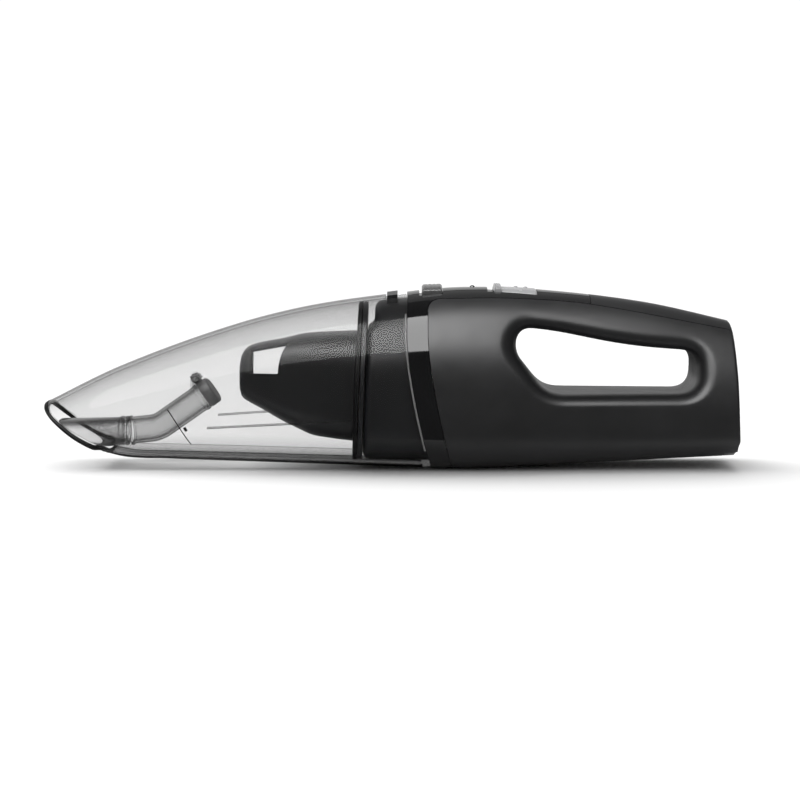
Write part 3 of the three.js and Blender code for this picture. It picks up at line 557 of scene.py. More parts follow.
SOLID_LOOKS = {  # dark and light tone, roughness, size of the tones, then the grain's fineness and height
    "matte_shell": (grey(0.013, 1.08), grey(0.017, 1.08), (0.37, 0.43), 30, 1900, 0.012),
    "gloss_black": (grey(0.005, 1.1), grey(0.007, 1.1), (0.035, 0.07), 25),
    "satin_black": (grey(0.016, 1.1), grey(0.02, 1.1), (0.28, 0.34), 25, dict(specular=0.33)),
    "black_rubber": (grey(0.002), grey(0.004), (0.4, 0.55), 60, 1500, 0.01, dict(specular=0.2)),
    "filter_plastic": (grey(0.016, 1.08), grey(0.02, 1.08), (0.3, 0.36), 35, dict(specular=0.36)),
    "flap_grey": (grey(0.13), grey(0.18), (0.45, 0.6), 260, 1500, 0.02),
    "filter_paper": ((0.62, 0.6, 0.54), (0.74, 0.72, 0.66), (0.85, 0.95), 90, 900, 0.05),
    "grey_button": (grey(0.07), grey(0.09), (0.2, 0.28), 60, dict(coat=0.1)),
    "pale_switch": (grey(0.36, 1.02), grey(0.44, 1.02), (0.2, 0.3), 60, dict(coat=0.2)),
    "lens": (grey(0.01), grey(0.02), (0.06, 0.1), 80, dict(coat=1.0)),
    "steel": (grey(0.5), grey(0.6), (0.22, 0.36), 200, 3000, 0.004, dict(metal=1.0, stretch=(1, 6, 6))),
    "contact_brass": ((0.6, 0.42, 0.14), (0.72, 0.52, 0.2), (0.2, 0.35), 300, dict(metal=1.0)),
    "board": ((0.01, 0.08, 0.03), (0.015, 0.11, 0.04), (0.35, 0.5), 150, 800, 0.02),
    "cell_wrap": ((0.04, 0.14, 0.36), (0.05, 0.17, 0.42), (0.25, 0.35), 60),
    "lead_sleeve": (grey(0.01), grey(0.02), (0.4, 0.5), 90, 1200, 0.01),
    "foam": (grey(0.015), grey(0.04), (0.9, 1.0), 900, 700, 0.25),
}
looks = {name: clear_look(name, *settings) for name, settings in CLEAR_LOOKS.items()}
for look_name, settings in SOLID_LOOKS.items():
    extra = settings[-1] if isinstance(settings[-1], dict) else {}
    looks[look_name] = solid_look(look_name, *settings[:len(settings) - bool(extra)], **extra)


# ---- the shells, the cover and the rear trim ----

def cover_edge(gap):
    """The line in side view between the glossy cover and the shells, from the bottom to the rear."""
    heights = np.linspace(1.6, 90, 56)
    raked = columns(collar_seam(heights) + gap, heights)
    corner = bezier((22 + gap, 90), (22.3 + gap, 96.4 - gap), (31, 96.4 - gap), 12)[1:]
    along = np.arange(33, 200, 2.0)
    return np.vstack([raked, corner, columns(along, spine_edge(along) - gap)])


def rear_round(z):
    """The radius of the rear edge's rounding: small at the foot, full above it."""
    t = np.clip((np.asarray(z, float) - 13) / 14, 0, 1)
    return 0.5 + 1.2 * t * t * (3 - 2 * t)


def flare_reach(outward):
    """How far the rim's rounding reaches: less under the opening than beside and over it."""
    return FLARE_REACH - 3.5 * np.clip(-outward[:, 1:], 0, 1)


def flare_rings(outline, outward):
    """The rounded rim of the handle opening and the wall inside it, from the side surface to the middle."""
    rows = []
    for angle in np.linspace(QUARTER, 0, 12):
        spread = outline + outward * flare_reach(outward) * (1 - math.cos(angle))
        surface = outer.points(outer.by_height(spread))
        surface[:, 1] += FLARE_DEPTH * (1 - math.sin(angle))
        rows.append(surface)
    for share in (0.75, 0.5, 0.25, 0):
        inner = rows[11].copy()
        inner[:, 1] = inner[:, 1] * share - GAP / 2 * (1 - share)
        rows.append(inner)
    return rings(rows)


def rear_cap(places, low_limit):
    """The rounded rear edge and the rear face, from the rear edge's places inwards to the middle plane."""
    start = outer.points(places)
    z, radius = start[:, 2], rear_round(start[:, 2])
    rows = [start]
    for angle in EDGE_ANGLES:
        x = places[:, 0] + radius * math.sin(angle)
        inset = radius * (1 - math.cos(angle))
        y = [half_width(a, b, c) for a, b, c in zip(x, z, inset)]
        rows.append(columns(x, -np.array(y), z))
    face = rows[-1]
    limit = np.where(z < CONTACT_TOP + GAP, low_limit, GAP / 2)
    limit = np.minimum(limit, -face[:, 1])
    for share in np.linspace(0, 1, 12)[1:]:
        row = face.copy()
        row[:, 1] = face[:, 1] * (1 - share) - limit * share
        rows.append(row)
    return rings(rows, closed=False)


def side_shell(name, side):
    edge = cover_edge(GAP / 2)
    seam = outer.by_height(edge[edge[:, 0] < rear_x(spine_edge(196.0)) - rear_round(80) - 0.5])
    foot_x = seam[0, 0]
    bottom_x = np.arange(foot_x, CONTACT_X - GAP, MESH_STEP)
    bottom = columns(bottom_x, outer.ends(bottom_x, False) + GAP / 2)
    block_x = CONTACT_X - GAP
    block_half = CONTACT_HALF + GAP
    inner_arc, outer_arc = outer.ends(block_x, False)[0], outer.by_width(block_x, block_half, False)[0, 1]
    across = spaced([(block_x, inner_arc + GAP / 2), (block_x, outer_arc)], MESH_STEP)
    first_z = outer.points(outer.by_width(195.0, block_half, False))[0, 2]
    rear_z = np.concatenate([np.linspace(first_z, CONTACT_TOP + GAP - 0.01, 4),
                             np.linspace(CONTACT_TOP + GAP, spine_edge(195.8) - GAP / 2, 40)])
    rear = outer.by_height(columns(rear_x(rear_z) - rear_round(rear_z), rear_z))
    foot = spaced([across[-1], rear[0]], MESH_STEP)[1:-1]
    outline, outward = handle_outline()
    hole = outer.by_height(outline + outward * flare_reach(outward))
    places, faces = fill(np.vstack([bottom, across, foot, rear, seam[::-1]]), [hole])
    blocks = [(outer.points(places), faces), flare_rings(outline, outward), rear_cap(rear, block_half)]
    if side > 0:
        blocks = [mirrored(b) for b in blocks]
    piece(name, blocks, "housing", "matte_shell", SHELL_WALL, 0.45)


def front_collar():
    """The glossy collar behind the bowl, with the tongue that runs back from it along the top."""
    heights = np.linspace(1.2, top_line(BOWL_SEAM_X) - 0.6, 64)
    front = outer.by_height(columns(bowl_seam(heights), heights))
    seam = cover_edge(-GAP / 2)
    seam = outer.by_height(seam[seam[:, 0] < SPINE_SPLIT_X - 1.5])
    split = SPINE_SPLIT_X - GAP / 2

    def middle(start, end):
        x = spaced([(start, 0), (end, 0)], MESH_STEP)[:, 0]
        return columns(x, outer.ends(x, True))

    def slot(start, end, half):
        corners = [outer.by_width(x, y, True)[0]
                   for x, y in ((start, 0), (start, half), (end, half), (end, 0))]
        return np.vstack([spaced(pair, MESH_STEP) for pair in zip(corners, corners[1:])])

    button = (BUTTON["start"] - BUTTON["swing"], BUTTON["end"] + GAP, BUTTON["half"] + GAP)
    switch = (SWITCH["start"] - SWITCH["travel"] - GAP, SWITCH["end"] + GAP, SWITCH["half"] + GAP)
    led_angle = np.linspace(math.pi, 0, 9)
    led = np.array([outer.by_width(LED_X + 2 * math.cos(a), 2 * math.sin(a), True)[0] for a in led_angle])
    top = np.vstack([middle(BOWL_SEAM_X, button[0]), slot(*button), middle(button[1], LED_X - 2), led,
                     middle(LED_X + 2, switch[0]), slot(*switch), middle(switch[1], split)])
    keep = np.concatenate([[True], np.linalg.norm(np.diff(top, axis=0), axis=1) > 1e-6])
    low = outer.by_height([(split, spine_edge(split) + GAP / 2)])[0]
    end = spaced([top[-1], low], MESH_STEP)[1:]
    bottom_x = spaced([(seam[0, 0], 0), (front[0, 0], 0)], MESH_STEP)[:, 0]
    bottom = columns(bottom_x, outer.ends(bottom_x, False))
    places, faces = fill(np.vstack([front, top[keep], end, seam[::-1], bottom]))
    blocks = both_sides((outer.points(places), faces))
    piece("front_collar", blocks, "housing", "gloss_black", SHELL_WALL, 0.35)


def rear_top_trim():
    start = SPINE_SPLIT_X + GAP / 2
    rear_top = top_line(195.2)
    rear_z = np.linspace(spine_edge(195.8) + GAP / 2, rear_top, 16)
    rear_edge_x = rear_x(rear_z) - rear_round(rear_z)
    rear_y = np.array([float(half_width(x, z)) for x, z in zip(rear_edge_x, rear_z)])
    rear = np.vstack([outer.by_width(x, y, True) for x, y in zip(rear_edge_x, rear_y)])
    along = spaced([(start, 0), (rear[0, 0], 0)], MESH_STEP)[:, 0]
    seam = outer.by_height(columns(along, spine_edge(along) + GAP / 2))
    top = columns(along, outer.ends(along, True))
    front = spaced([top[0], seam[0]], MESH_STEP)[1:-1]
    top_end = np.array([rear[-1, 0], outer.ends(rear[-1, 0], True)[0]])
    places, faces = fill(np.vstack([seam[:-1], rear[:-1], top_end[None], top[::-1][1:], front]))
    edge = outer.points(np.vstack([rear[:-1], top_end]))
    share = edge[:, 1] / edge[0, 1]
    rows, radius = [edge], float(rear_round(80))
    for angle in EDGE_ANGLES:
        x = edge[:, 0] + radius * math.sin(angle)
        inset = radius * (1 - math.cos(angle))
        y = share * float(half_width(x[0], edge[0, 2], inset))
        z = np.array([float(crown(a, b, inset)) for a, b in zip(x, y)])
        rows.append(columns(x, -y, z))
    foot = rows[-1].copy()
    foot[:, 2] = edge[0, 2]
    rows.append(foot)
    blocks = both_sides((outer.points(places), faces), rings(rows, closed=False))
    piece("rear_top_trim", blocks, "housing", "matte_shell", SHELL_WALL, 0.35)


# ---- the bowl and its mouth ----

NOTCH_X, NOTCH_HALF = -1.8, 17
LIP_WIDTH = 2.3
MOUTH_END_X = -160.0


def mouth_places():
    """The mouth's edge on the form, from the top's middle line to the bottom's."""
    side = mouth_line[(mouth_line[:, 1] < top_line(mouth_line[:, 0]) - 0.25) & (mouth_line[:, 0] < -167)]
    places = outer.by_height(side)
    tip = np.array([side[0, 0], outer.ends(side[0, 0], True)[0]])
    end = np.array([MOUTH_END_X, outer.ends(MOUTH_END_X, False)[0]])
    turn = bezier(places[-1], (MOUTH_END_X - 0.5, places[-1, 1] - 4), end + (0, 8), 14)[1:]
    return spaced(np.vstack([tip, places, turn, end]), 1.2)


def shifted(places, width):
    """Places moved square to their own line, into the bowl."""
    along = headings(places)
    along[0], along[-1] = (0, -1), (0, -1)
    return places + columns(-along[:, 1], along[:, 0]) * width


def dust_bowl():
    rim = shifted(mouth_places(), LIP_WIDTH + GAP)
    rim[0, 1], rim[-1, 1] = outer.ends(rim[0, 0], True)[0], outer.ends(rim[-1, 0], False)[0]
    heights = np.linspace(1.2, 97.5, 60)
    seam = outer.by_height(columns(bowl_seam(heights) - GAP, heights))
    edge_x = BOWL_SEAM_X - GAP
    seam = seam[heights < float(crown(edge_x, NOTCH_HALF)) - 0.8]
    notch_side = spaced([outer.by_width(x, NOTCH_HALF, True)[0] for x in (edge_x, NOTCH_X)], MESH_STEP)
    notch_end = spaced([notch_side[-1], (NOTCH_X, outer.ends(NOTCH_X, True)[0])], MESH_STEP)[1:]
    top_x = np.arange(NOTCH_X - MESH_STEP, rim[0, 0] + 1, -MESH_STEP)
    top = columns(top_x, outer.ends(top_x, True))
    bottom_x = np.arange(rim[-1, 0] + 1.5, seam[0, 0] - 0.5, MESH_STEP)
    bottom = columns(bottom_x, outer.ends(bottom_x, False))
    last = np.array([[seam[0, 0], outer.ends(seam[0, 0], False)[0]]])
    places, faces = fill(np.vstack([rim, bottom, last, seam, notch_side, notch_end, top]))
    blocks = both_sides((outer.points(places), faces))
    piece("dust_bowl", blocks, "bowl", "clear_bowl", BOWL_WALL, 0.4, inner="clear_inner")


LIP_PROFILE = [(0.45, 0.1), (1.2, 0.2), (2.0, 0.1), (2.3, -0.2), (2.3, -2.1), (2.0, -2.4), (1.3, -2.5),
               (0.6, -2.4), (0.25, -2.0), (0.15, -1.1), (0.2, -0.3)]  # into the bowl, and out of its surface


def mouth_lip():
    edge = mouth_places()
    start, inward = outer.points(edge), outer.points(shifted(edge, LIP_WIDTH))
    across = inward - start
    across[[0, -1], 1] = 0
    across = unit(across)
    along = np.gradient(start, axis=0)
    along[0], along[-1] = (0, -1, 0), (0, 1, 0)
    out = unit(np.cross(along, across))
    rows = [start + across * a + out * n for a, n in LIP_PROFILE]
    block = rings(np.transpose(rows, (1, 0, 2)))
    piece("mouth_lip", both_sides(block), "bowl", "black_rubber", sharp=50)


def painted_shade_keel():
    """A near-black strip along the bowl's lower edges: painted shade for the black line seen there at a low
    angle; from above it is partly solid, which darkens the shadow under the bowl.
    """
    skin = Form(body_section(-0.12))
    x = np.arange(MOUTH_END_X - 3, 21, 2.0)
    rows = [skin.points(skin.by_height(columns(x, under_line(x) + height)))
            for height in np.linspace(0.05, 3.4, 14)]
    piece("painted_shade_keel", both_sides(rings(rows, closed=False)), "bowl", "painted_edge_shade", 0.1, slot="clear_bowl")


def rail(points, width, base, proud):
    """A slim rail along a line of the side view, from one height off the outer surface to another."""
    places = outer.by_height(spaced(points, 2.5))
    along = headings(places)
    square = columns(-along[:, 1], along[:, 0])
    middle = outer.points(places)
    across = outer.points(places + square / 2) - outer.points(places - square / 2)
    out = np.cross(np.gradient(middle, axis=0), across)
    out *= (-np.sign(out[:, 1]) / np.linalg.norm(out, axis=1))[:, None]
    profile = ((-0.5, base), (-0.35, proud), (0.35, proud), (0.5, base))
    rows = [middle + across * width * w + out * h for w, h in profile]
    return rings(np.transpose(rows, (1, 0, 2)), cap_start=True, cap_end=True)


def bowl_rails():
    """Guide rails inside the bowl that the filter slides between."""
    lines = [([(-102, 24.3), (-22, 29)], 1.4), ([(-51, 70.8), (-22, 74.2)], 0.9),
             ([(-42.5, 69.6), (-22, 72)], 0.9)]  # and each one's width
    blocks = [rail(*line, 0.2 - BOWL_WALL, -0.8 - BOWL_WALL) for line in lines]
    piece("bowl_rails", both_sides(*blocks), "bowl", "clear_rail", slot="clear_bowl", outward=False)


def painted_glint_bead():
    """A bead round the bowl's rear end in a pale colour: a painted highlight along the bowl's rear edge."""
    heights = np.linspace(12, 88, 40)
    block = rail(columns(bowl_seam(heights) - 0.9, heights), 0.9, 0.0, 0.2)
    piece("painted_glint_bead", both_sides(block), "bowl", "painted_glint_rim", slot="clear_bowl", outward=False)


def fill_mark():
    """A printed line on the near side for the highest dirt level, with a pointer."""
    line = rail([(-123.9, 34.8), (-111.1, 15.2)], 0.55, -0.1, 0.08)
    pointer = rail([(-114.6, 24.9), (-113.2, 22.8)], 1.5, -0.1, 0.08)
    piece("fill_mark", [line, pointer], "bowl", "black_rubber", outward=False)


# ---- the intake duct ----

SIDES, DUCT_WALL = 56, 1.4


def oval(x, z, lean, half_height, half, power=2.4, inset=0.0):
    """An oval ring of the duct in a plane that leans."""
    y, v = around(half - inset, half_height - inset, power, SIDES)
    return columns(x - v * math.sin(lean), y, z + v * math.cos(lean))


def duct(rows, wall):
    """An open duct with a wall, through a row of ovals."""
    there, back = [oval(*row) for row in rows], [oval(*row, inset=wall) for row in reversed(rows)]
    return rings([*there, *back, there[0]])


def intake_funnel():
    stations = np.array([(-189.5, 25.8, -165, 11.2, 20.5, 3.2), (-180, 26, -161, 10.6, 19, 3),
                         (-169, 26.4, -157.5, 10.9, 15.5, 2.7), (-155.2, 26.9, -155.2, 11.5, 12, 2.4)])
    rows = []
    for top_x, top_z, foot_x, foot_z, half, power in spline_points(stations, 8):
        dx, dz = top_x - foot_x, top_z - foot_z
        rows.append(((top_x + foot_x) / 2, (top_z + foot_z) / 2, math.atan2(-dx, dz), math.hypot(dx, dz) / 2,
                     half, power))
    piece("intake_funnel", [duct(rows, DUCT_WALL)], "bowl", "smoked_duct", sharp=50)


DUCT_START, DUCT_BEND, DUCT_END = (-148.6, 19.3), (-133, 21), (-106.4, 39.6)
END_SLOPE = math.radians(35)
END_AXIS = np.array([math.cos(END_SLOPE), math.sin(END_SLOPE)])


def at_duct_end(along, across):
    return np.array(DUCT_END) + along * END_AXIS + across * np.array([-END_AXIS[1], END_AXIS[0]])


def side_prism(points, y0, y1):
    """A side outline of points (x, z), drawn out across the vacuum."""
    points = np.asarray(points, float)
    row = columns(points[:, 0], np.zeros(len(points)), points[:, 1])
    return rings([row + (0, y0, 0), row + (0, y1, 0)], cap_start=True, cap_end=True)


def round_bar(axis, radius, start, end, centre, sides=32, soft=0.0):
    """A round bar along X, Y or Z, with softened ends."""
    angle = turns(sides)
    steps = [(start, radius - soft), (start + soft, radius), (end - soft, radius), (end, radius - soft)]
    k = "xyz".index(axis)
    rows = []
    for at, r in steps if soft else [steps[1], steps[2]]:
        ring = np.empty((sides, 3))
        ring[:, k] = at
        ring[:, (k + 1) % 3] = centre[0] + r * np.cos(angle)
        ring[:, (k + 2) % 3] = centre[1] + r * np.sin(angle)
        rows.append(ring)
    return rings(rows, cap_start=True, cap_end=True)


def level_ring(x, radius, z, sides):
    """A level circle about a point of the middle plane."""
    turn = turns(sides)
    return columns(x + radius * np.cos(turn), radius * np.sin(turn), np.full(sides, z))


FLAP_PIVOT = at_duct_end(1.6, 10.6)


def intake_elbow():
    rise = math.atan2(DUCT_BEND[1] - DUCT_START[1], DUCT_BEND[0] - DUCT_START[0])
    bend = np.array(DUCT_BEND)
    path = bezier(bend - 4 * np.array([1, math.tan(rise)]), bend, bend + 5 * END_AXIS, 16)
    size = (7.75, 12)
    rows = [(*DUCT_START, rise, 8.5, 12.7), (DUCT_START[0] + 1.1, DUCT_START[1] + 0.1, rise, 8.5, 12.7),
            (DUCT_START[0] + 1.5, DUCT_START[1] + 0.15, rise, *size)]
    rows += [(x, z, rise + (END_SLOPE - rise) * i / 16, *size) for i, (x, z) in enumerate(path)]
    for along, extra in ((-3.2, 0), (-2.8, 0.5), (-1.2, 0.5), (-0.8, 0), (0, 0)):
        x, z = at_duct_end(along, 0)
        rows.append((x, z, END_SLOPE, size[0] + extra, size[1] + extra))
    ear = [at_duct_end(*p) for p in ((-4, 7), (-1, 7), (2.6, 8.6), (3.6, 10.4), (3.2, 12.2), (1.4, 13.2),
                                     (-0.8, 12))]
    ears = [side_prism(ear, *sides) for sides in ((-7.6, -5.8), (5.8, 7.6))]
    blocks = [duct(rows, DUCT_WALL), *ears]
    piece("intake_elbow", blocks, "bowl", "smoked_elbow", slot="smoked_duct", sharp=45, outward=False)


def duct_seal_ring():
    profile = [(-154.8, -0.3), (-154.5, 0), (-152.8, 0), (-152.4, -0.7), (-151.9, -0.7), (-151.5, 0),
               (-150.2, 0), (-149.9, -0.3)]
    rows = [(x, 19.15, 0, 8.4 + d, 12.8 + d) for x, d in profile]
    piece("duct_seal_ring", [duct(rows, 2)], "bowl", "smoked_duct", sharp=50)


def intake_flap():
    """The non-return flap: a domed cap over the duct's end, hung from a knuckle with a fluted crown."""
    dome = [(0.4, 7.4, 11.6), (0.6, 7.9, 12.1), (1.0, 8.1, 12.3), (5.4, 8.1, 12.3), (6.1, 7.8, 12),
            (6.5, 7.1, 11.3), (6.6, 6.2, 10.4), (6.6, 3, 6)]
    rows = []
    for along, half_height, half in dome:
        x, z = at_duct_end(along, 0)
        rows.append(oval(x, z, END_SLOPE, half_height, half))
    arm = [at_duct_end(*p) for p in ((0.5, 5), (3, 5), (3.8, 8), (3.4, 10.4), (0.2, 10.4), (0.2, 8))]
    blocks = [rings(rows, cap_start=True, cap_end=True), side_prism(arm, -5, 5),
              round_bar("y", 2.6, -5, 5, FLAP_PIVOT[::-1], soft=0.3)]
    for k in range(5):
        x, z = FLAP_PIVOT + 2.7 * np.array([math.cos(0.3 + k * 0.6), math.sin(0.3 + k * 0.6)])
        blocks.append(round_bar("y", 0.8, -4.6, 4.6, (z, x), 12, 0.2))
    piece("intake_flap", blocks, "flap", "flap_grey", outward=False)


# ---- the filter ----

HOOD_WALL = 1.8
HOOD_REAR_X = -19.3  # at middle height
WINDOW = [(-78.6, 67), (-57.3, 71), (-59.6, 67.4), (-61.3, 63.6), (-62.4, 58.6), (-62.9, 53.8),
          (-78.6, 53.8)]
FAR_WINDOW = [(-80, 67.5), (-55.5, 71.4), (-58, 67), (-59.5, 63), (-60.5, 58), (-60.8, 47.5), (-80, 47.5)]


def tilted(x0, z):
    return x0 + BASKET_TILT * (np.asarray(z, float) - 50)


def filter_hood():
    low_z, high_z = hood_low(-20.5), hood_high(-18.5)
    rear_z = np.linspace(low_z + 0.4, high_z - 0.4, 40)
    rear = hood_form.by_height(columns(tilted(HOOD_REAR_X, rear_z), rear_z))
    nose_x = HOOD[0, 0]
    low_arc, high_arc = (hood_form.ends(nose_x, top)[0] for top in (False, True))
    front = np.array([(nose_x, arc) for arc in np.linspace(low_arc, high_arc, 26)])

    def middle(start, end, top):
        x = np.concatenate([[start], np.geomspace(1, 1 + end - start, 40)[1:] - 1 + start])
        return columns(x, hood_form.ends(x, top))

    bottom = middle(nose_x, tilted(HOOD_REAR_X, low_z), False)[1:]
    top = middle(nose_x, tilted(HOOD_REAR_X, high_z), True)[1:]
    edge, sides = np.vstack([front[::-1], bottom, rear, top[::-1]]), []
    for outline in (WINDOW, FAR_WINDOW):
        window = hood_form.by_height(spaced([*outline, outline[0]], 1.2)[:-1])
        places, faces = fill(edge, [window], 1.8)
        sides.append((hood_form.points(places), faces))
    nose = hood_form.points(front)
    rim = np.vstack([nose, (nose * (1, -1, 1))[-2:0:-1]])
    cap = (rim, [tuple(range(len(rim)))])
    piece("filter_hood", [sides[0], mirrored(sides[1]), cap], "filter", "filter_plastic", HOOD_WALL, 0.3)


def ring_plate(name, x0, thick, inset, opening, look):
    """A flat ring across the bowl, cut to its inside, that leans with the filter."""
    form = Form(body_section(inset))
    y, z, _ = form.rows(x0)
    outline = whole(spaced(columns(y[0], z[0]), 2.5))
    half, half_height, middle, power = opening
    hole_y, hole_z = around(half, half_height, power, 90)
    hole = columns(hole_y, middle + hole_z)
    places, faces = fill(outline, [hole], 3.5)
    sheet = columns(tilted(x0, places[:, 1]), places)
    piece(name, [(sheet, faces)], "filter", look, thick, 0.3, outward=None)


# ---- the motor's bulkhead ----

INLET_RADIUS, INLET_HOLES, INLET_HOLE_RADIUS, INLET_CIRCLE = 14, 8, 4.5, 24
BULKHEAD_FRONT = [(-5, -15.4), (78.5, -12), (79.6, -11.4), (80.6, -9.6), (81.5, -8.4), (84, -8),
                  (105, -7.4)]  # z and x


def bulkhead_front(z):
    return np.interp(z, *zip(*BULKHEAD_FRONT))


def motor_bulkhead():
    """The black plug that closes the housing and fits inside the bowl's rear end."""
    radius = 4.5
    form = Form(body_section(BOWL_WALL + 0.9))
    shares = np.linspace(1, 0, 6)
    rows = []
    for share in shares:
        y, z, _ = form.rows(16 * share - 4)
        rows.append(spaced(columns(y[0], z[0]), 1.6))
    count = min(len(r) for r in rows)
    ring_rows = []
    for share, line in zip(shares, rows):
        at = np.linspace(0, len(line) - 1, count)
        yz = columns(*[np.interp(at, np.arange(len(line)), line[:, k]) for k in (0, 1)])
        front = bulkhead_front(yz[:, 1]) + radius
        rear = bowl_seam(yz[:, 1]) + 6
        ring_rows.append(columns(front * (1 - share) + rear * share, -yz[:, 0], yz[:, 1]))
    yz = ring_rows[-1][:, 1:]
    along = np.gradient(yz, axis=0)
    along[[0, -1], 1] = 0
    normal = unit(columns(along[:, 1], -along[:, 0]))
    normal *= np.sign((normal * (yz - (0, MOTOR_Z))).sum(1))[:, None]
    for angle in EDGE_ANGLES:
        at = yz - normal * radius * (1 - math.cos(angle))
        at[[0, -1], 0] = 0
        x = bulkhead_front(at[:, 1]) + radius * (1 - math.sin(angle))
        ring_rows.append(columns(x, at))
    loop = whole(ring_rows[-1][:, 1:])
    turn = turns(48)
    circle = columns(np.cos(turn), np.sin(turn))
    holes = [circle * INLET_RADIUS + (0, MOTOR_Z)]
    for i in range(INLET_HOLES):
        a = (i + 0.5) * 2 * math.pi / INLET_HOLES
        centre = (INLET_CIRCLE * math.cos(a), MOTOR_Z + INLET_CIRCLE * math.sin(a))
        holes.append(circle[::2] * INLET_HOLE_RADIUS + centre)
    places, faces = fill(loop, holes, 2.6)
    face = (columns(bulkhead_front(places[:, 1]), places), faces)
    blocks = [*both_sides(rings(ring_rows, closed=False)), face]
    piece("motor_bulkhead", blocks, "housing", "satin_black", 2.0, 0.3, slot="gloss_black")


# ---- the controls on top ----

def crowned_pad(x, lift, half, depth, rim=0.7):
    """A solid that follows the body's crown: its top is lift above it at each x, its foot depth below."""
    x, lift = np.asarray(x, float), np.asarray(lift, float)
    across = np.concatenate([[-half, -half + rim * 0.3], np.linspace(-half + rim, half - rim, 29),
                             [half - rim * 0.3, half]])
    drop = np.zeros(len(across))
    drop[[0, -1]], drop[[1, -2]] = rim, rim * 0.35
    top = [columns(np.full(len(across), a), across, crown(a, across) + b - drop)
           for a, b in zip(x, lift)]
    rows = []
    for row in top:
        under = row[::-1].copy()
        under[:, 2] = crown(row[0, 0], under[:, 1]) - depth
        rows.append(np.vstack([row, under]))
    return rings(rows, cap_start=True, cap_end=True)


def release_button():
    start, end = BUTTON["start"], BUTTON["end"]
    x = np.linspace(start, end, 72)
    lift = np.full(len(x), 2.7) - (x - 24.6) * 0.06
    lift -= 0.9 * np.clip(1 - (x - start) / 1.3, 0, 1) ** 2 + 0.9 * np.clip(1 - (end - x) / 1.3, 0, 1) ** 2
    for groove in (3.4, 5.8, 8.2):
        lift -= 0.15 * np.exp(-(((x - start - groove) / 0.42) ** 2))
    piece("release_button", [crowned_pad(x, lift, BUTTON["half"], 3.2)], "release", "grey_button")


def switch_knob():
    start, end = SWITCH["start"], SWITCH["end"]
    x = np.linspace(start, end, 110)
    lift = np.full(len(x), 0.35) - 0.5 * np.clip(1 - (end - x) / 1.2, 0, 1) ** 2
    grip = np.clip(np.minimum((x - start) / 0.7, (start + 4.6 - x) / 1.0), 0, 1)
    lift += 2.0 * grip * grip * (3 - 2 * grip)
    for groove in (1.3, 2.4, 3.5):
        lift -= 0.5 * np.exp(-(((x - start - groove) / 0.25) ** 2))
    blocks = [crowned_pad(x, lift, SWITCH["half"], 2.0)]
    for bump in (72.6, 78.2):
        base = float(crown(bump, 0)) + 0.1
        rows = [level_ring(bump, 1.3 * math.cos(angle), base + 0.9 * math.sin(angle), 32)
                for angle in np.linspace(0, QUARTER, 7)[:-1]]
        blocks.append(rings(rows, cap_start=True, cap_end=True))
    blocks.append(round_bar("z", 2, 93.4, 99.9, (70, 0)))
    piece("switch_knob", blocks, "switch", "pale_switch", outward=False)


def led_lens():
    dome = [(1.6 * math.cos(a), 101.6 + 1.4 * math.sin(a)) for a in np.linspace(0, QUARTER, 9)[1:-1]]
    rows = [level_ring(LED_X, radius, z, 40) for radius, z in ((1.6, 96.5), (1.6, 101.6), *dome)]
    piece("led_lens", [rings(rows, cap_start=True, cap_end=True)], "housing", "lens", sharp=60)


# ---- the camera, the lights and the floor ----

def camera():
    data = bpy.data.cameras.new("camera")
    data.lens, data.sensor_width = 109.7, 36
    obj = new_object("camera", data)
    obj.location = (0.0063, -1.4, 0.156)
    aim = Vector((0.0063, 0, 0.0368)) - obj.location
    obj.rotation_euler = aim.to_track_quat("-Z", "Y").to_euler()
    bpy.context.scene.camera = obj


def panel(name, centre, aim, size, radiance):
    """A soft panel of a given brightness that shows only in shiny surfaces."""
    data = bpy.data.lights.new(name, "AREA")
    data.shape, data.size, data.size_y = "RECTANGLE", *size
    data.energy = radiance * size[0] * size[1] * math.pi
    obj = new_object(name, data)
    obj.location = centre
    obj.rotation_euler = (Vector(aim) - Vector(centre)).to_track_quat("-Z", "Y").to_euler()
    obj.visible_diffuse = obj.visible_camera = False


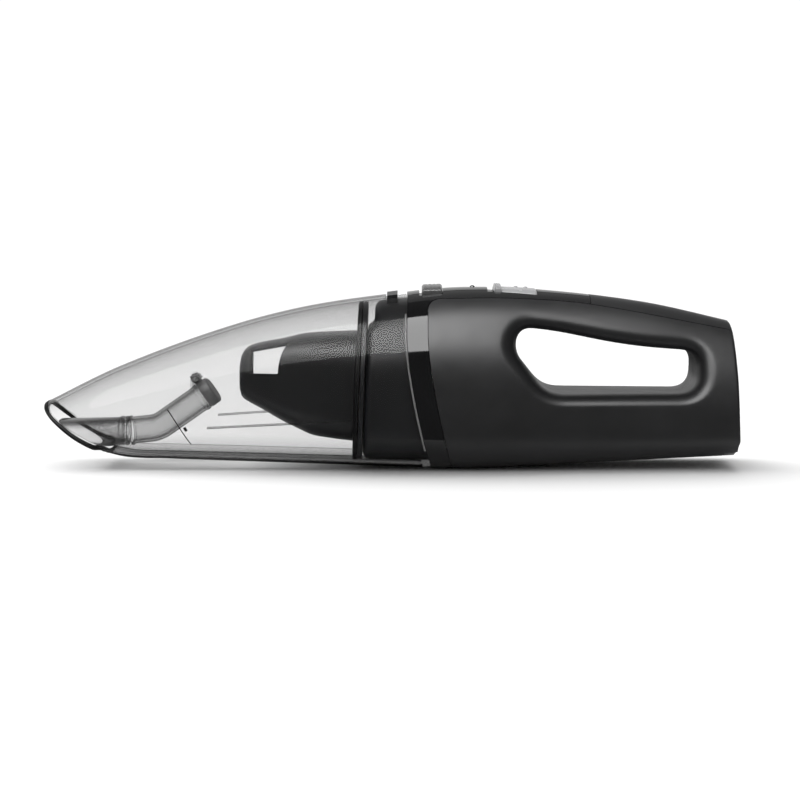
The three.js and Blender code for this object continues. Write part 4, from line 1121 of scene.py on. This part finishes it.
def studio():
    """A white backdrop, one big softbox over the near side, and dark all round it; the white table is made
    by studio_floor.
    """
    panel("softbox", (-0.38, -0.666, 1.153), (-0.38, 0.015, 0.105), (1.7, 1.27), 7.6)
    panel("backdrop", (0, 1.6, 0.45), (0, 0, 0.45), (5, 0.94), 0.55)
    panel("rear_panel", (0.2, 1.0, 1.1), (0, 0, 0.05), (2.0, 0.7), 0.2)
    sun = bpy.data.lights.new("overhead", "SUN")
    sun.energy, sun.angle = 3.25, math.radians(64)
    above = new_object("overhead", sun)
    above.rotation_euler = (math.radians(-33), math.radians(-20), 0)
    above.visible_glossy = False
    world = bpy.data.worlds.new("studio")
    bpy.context.scene.world = world
    graph = Graph(world)
    rays = graph.add("LightPath").outputs
    sky, shine, seen = (graph.add("Background", {"Color": (1, 1, 1, 1), "Strength": strength}).outputs[0]
                        for strength in (0.45, 0.1, 1.05))
    for ray, other in (("Is Glossy Ray", shine), ("Is Camera Ray", seen)):
        sky = graph.add("MixShader", {"Fac": rays[ray], 1: sky, 2: other}).outputs["Shader"]
    graph.add("OutputWorld", {"Surface": sky})
    bpy.context.scene.view_settings.view_transform = "Standard"
    bpy.context.scene.cycles.transparent_max_bounces = 32


def studio_floor():
    """The white table: only its part right under the vacuum shows in shiny surfaces."""
    low, reach, near_x, near_y = -0.0002, 30.0, 0.26, 0.07
    look = solid_look("table", grey(0.9), grey(0.905), (0.9, 0.95), 2)
    inner = [(-near_x, -near_y), (near_x, -near_y), (near_x, near_y), (-near_x, near_y)]
    outer_edge = [(-reach, -reach), (reach, -reach), (reach, reach), (-reach, reach)]
    frame_faces = [(i, (i + 1) % 4, (i + 1) % 4 + 4, i + 4) for i in range(4)]
    parts = (("table_middle", inner, [(0, 1, 2, 3)]), ("table", outer_edge + inner, frame_faces))
    for name, places, faces in parts:
        mesh = bpy.data.meshes.new(name)
        mesh.from_pydata([(x, y, low) for x, y in places], [], faces)
        mesh.materials.append(look)
        obj = new_object(name, mesh)
        obj.visible_glossy = name == "table_middle"


# ---- the build ----

camera()
studio()
studio_floor()
side_shell("left_shell", -1)
side_shell("right_shell", 1)
front_collar()
rear_top_trim()
dust_bowl()
mouth_lip()
painted_shade_keel()
bowl_rails()
painted_glint_bead()
fill_mark()
intake_funnel()
duct_seal_ring()
intake_elbow()
intake_flap()
filter_hood()
ring_plate("filter_gasket", -16.5, 2.4, BOWL_WALL + GAP, (35, 31, 46, 3), "black_rubber")
ring_plate("filter_flange", -13.6, 2.5, BOWL_WALL + 2 * GAP, (31, 27, 46, 3), "filter_plastic")
motor_bulkhead()
release_button()
switch_knob()
led_lens()

slots = {part["node"]: part["material_slot"] for part in frame["record"]["subparts"]}
for name, obj in frame["nodes"].items():
    if not obj.hide_render:
        obj.data.materials.clear()
        obj.data.materials.append(looks[slots[name]])
        soft = obj.modifiers.new("edge", "BEVEL")
        soft.width, soft.segments = (1.1 if name == "release_lever" else 0.3) * MM, 3
        soft.angle_limit = math.radians(40)
        obj.modifiers.new("normals", "WEIGHTED_NORMAL")
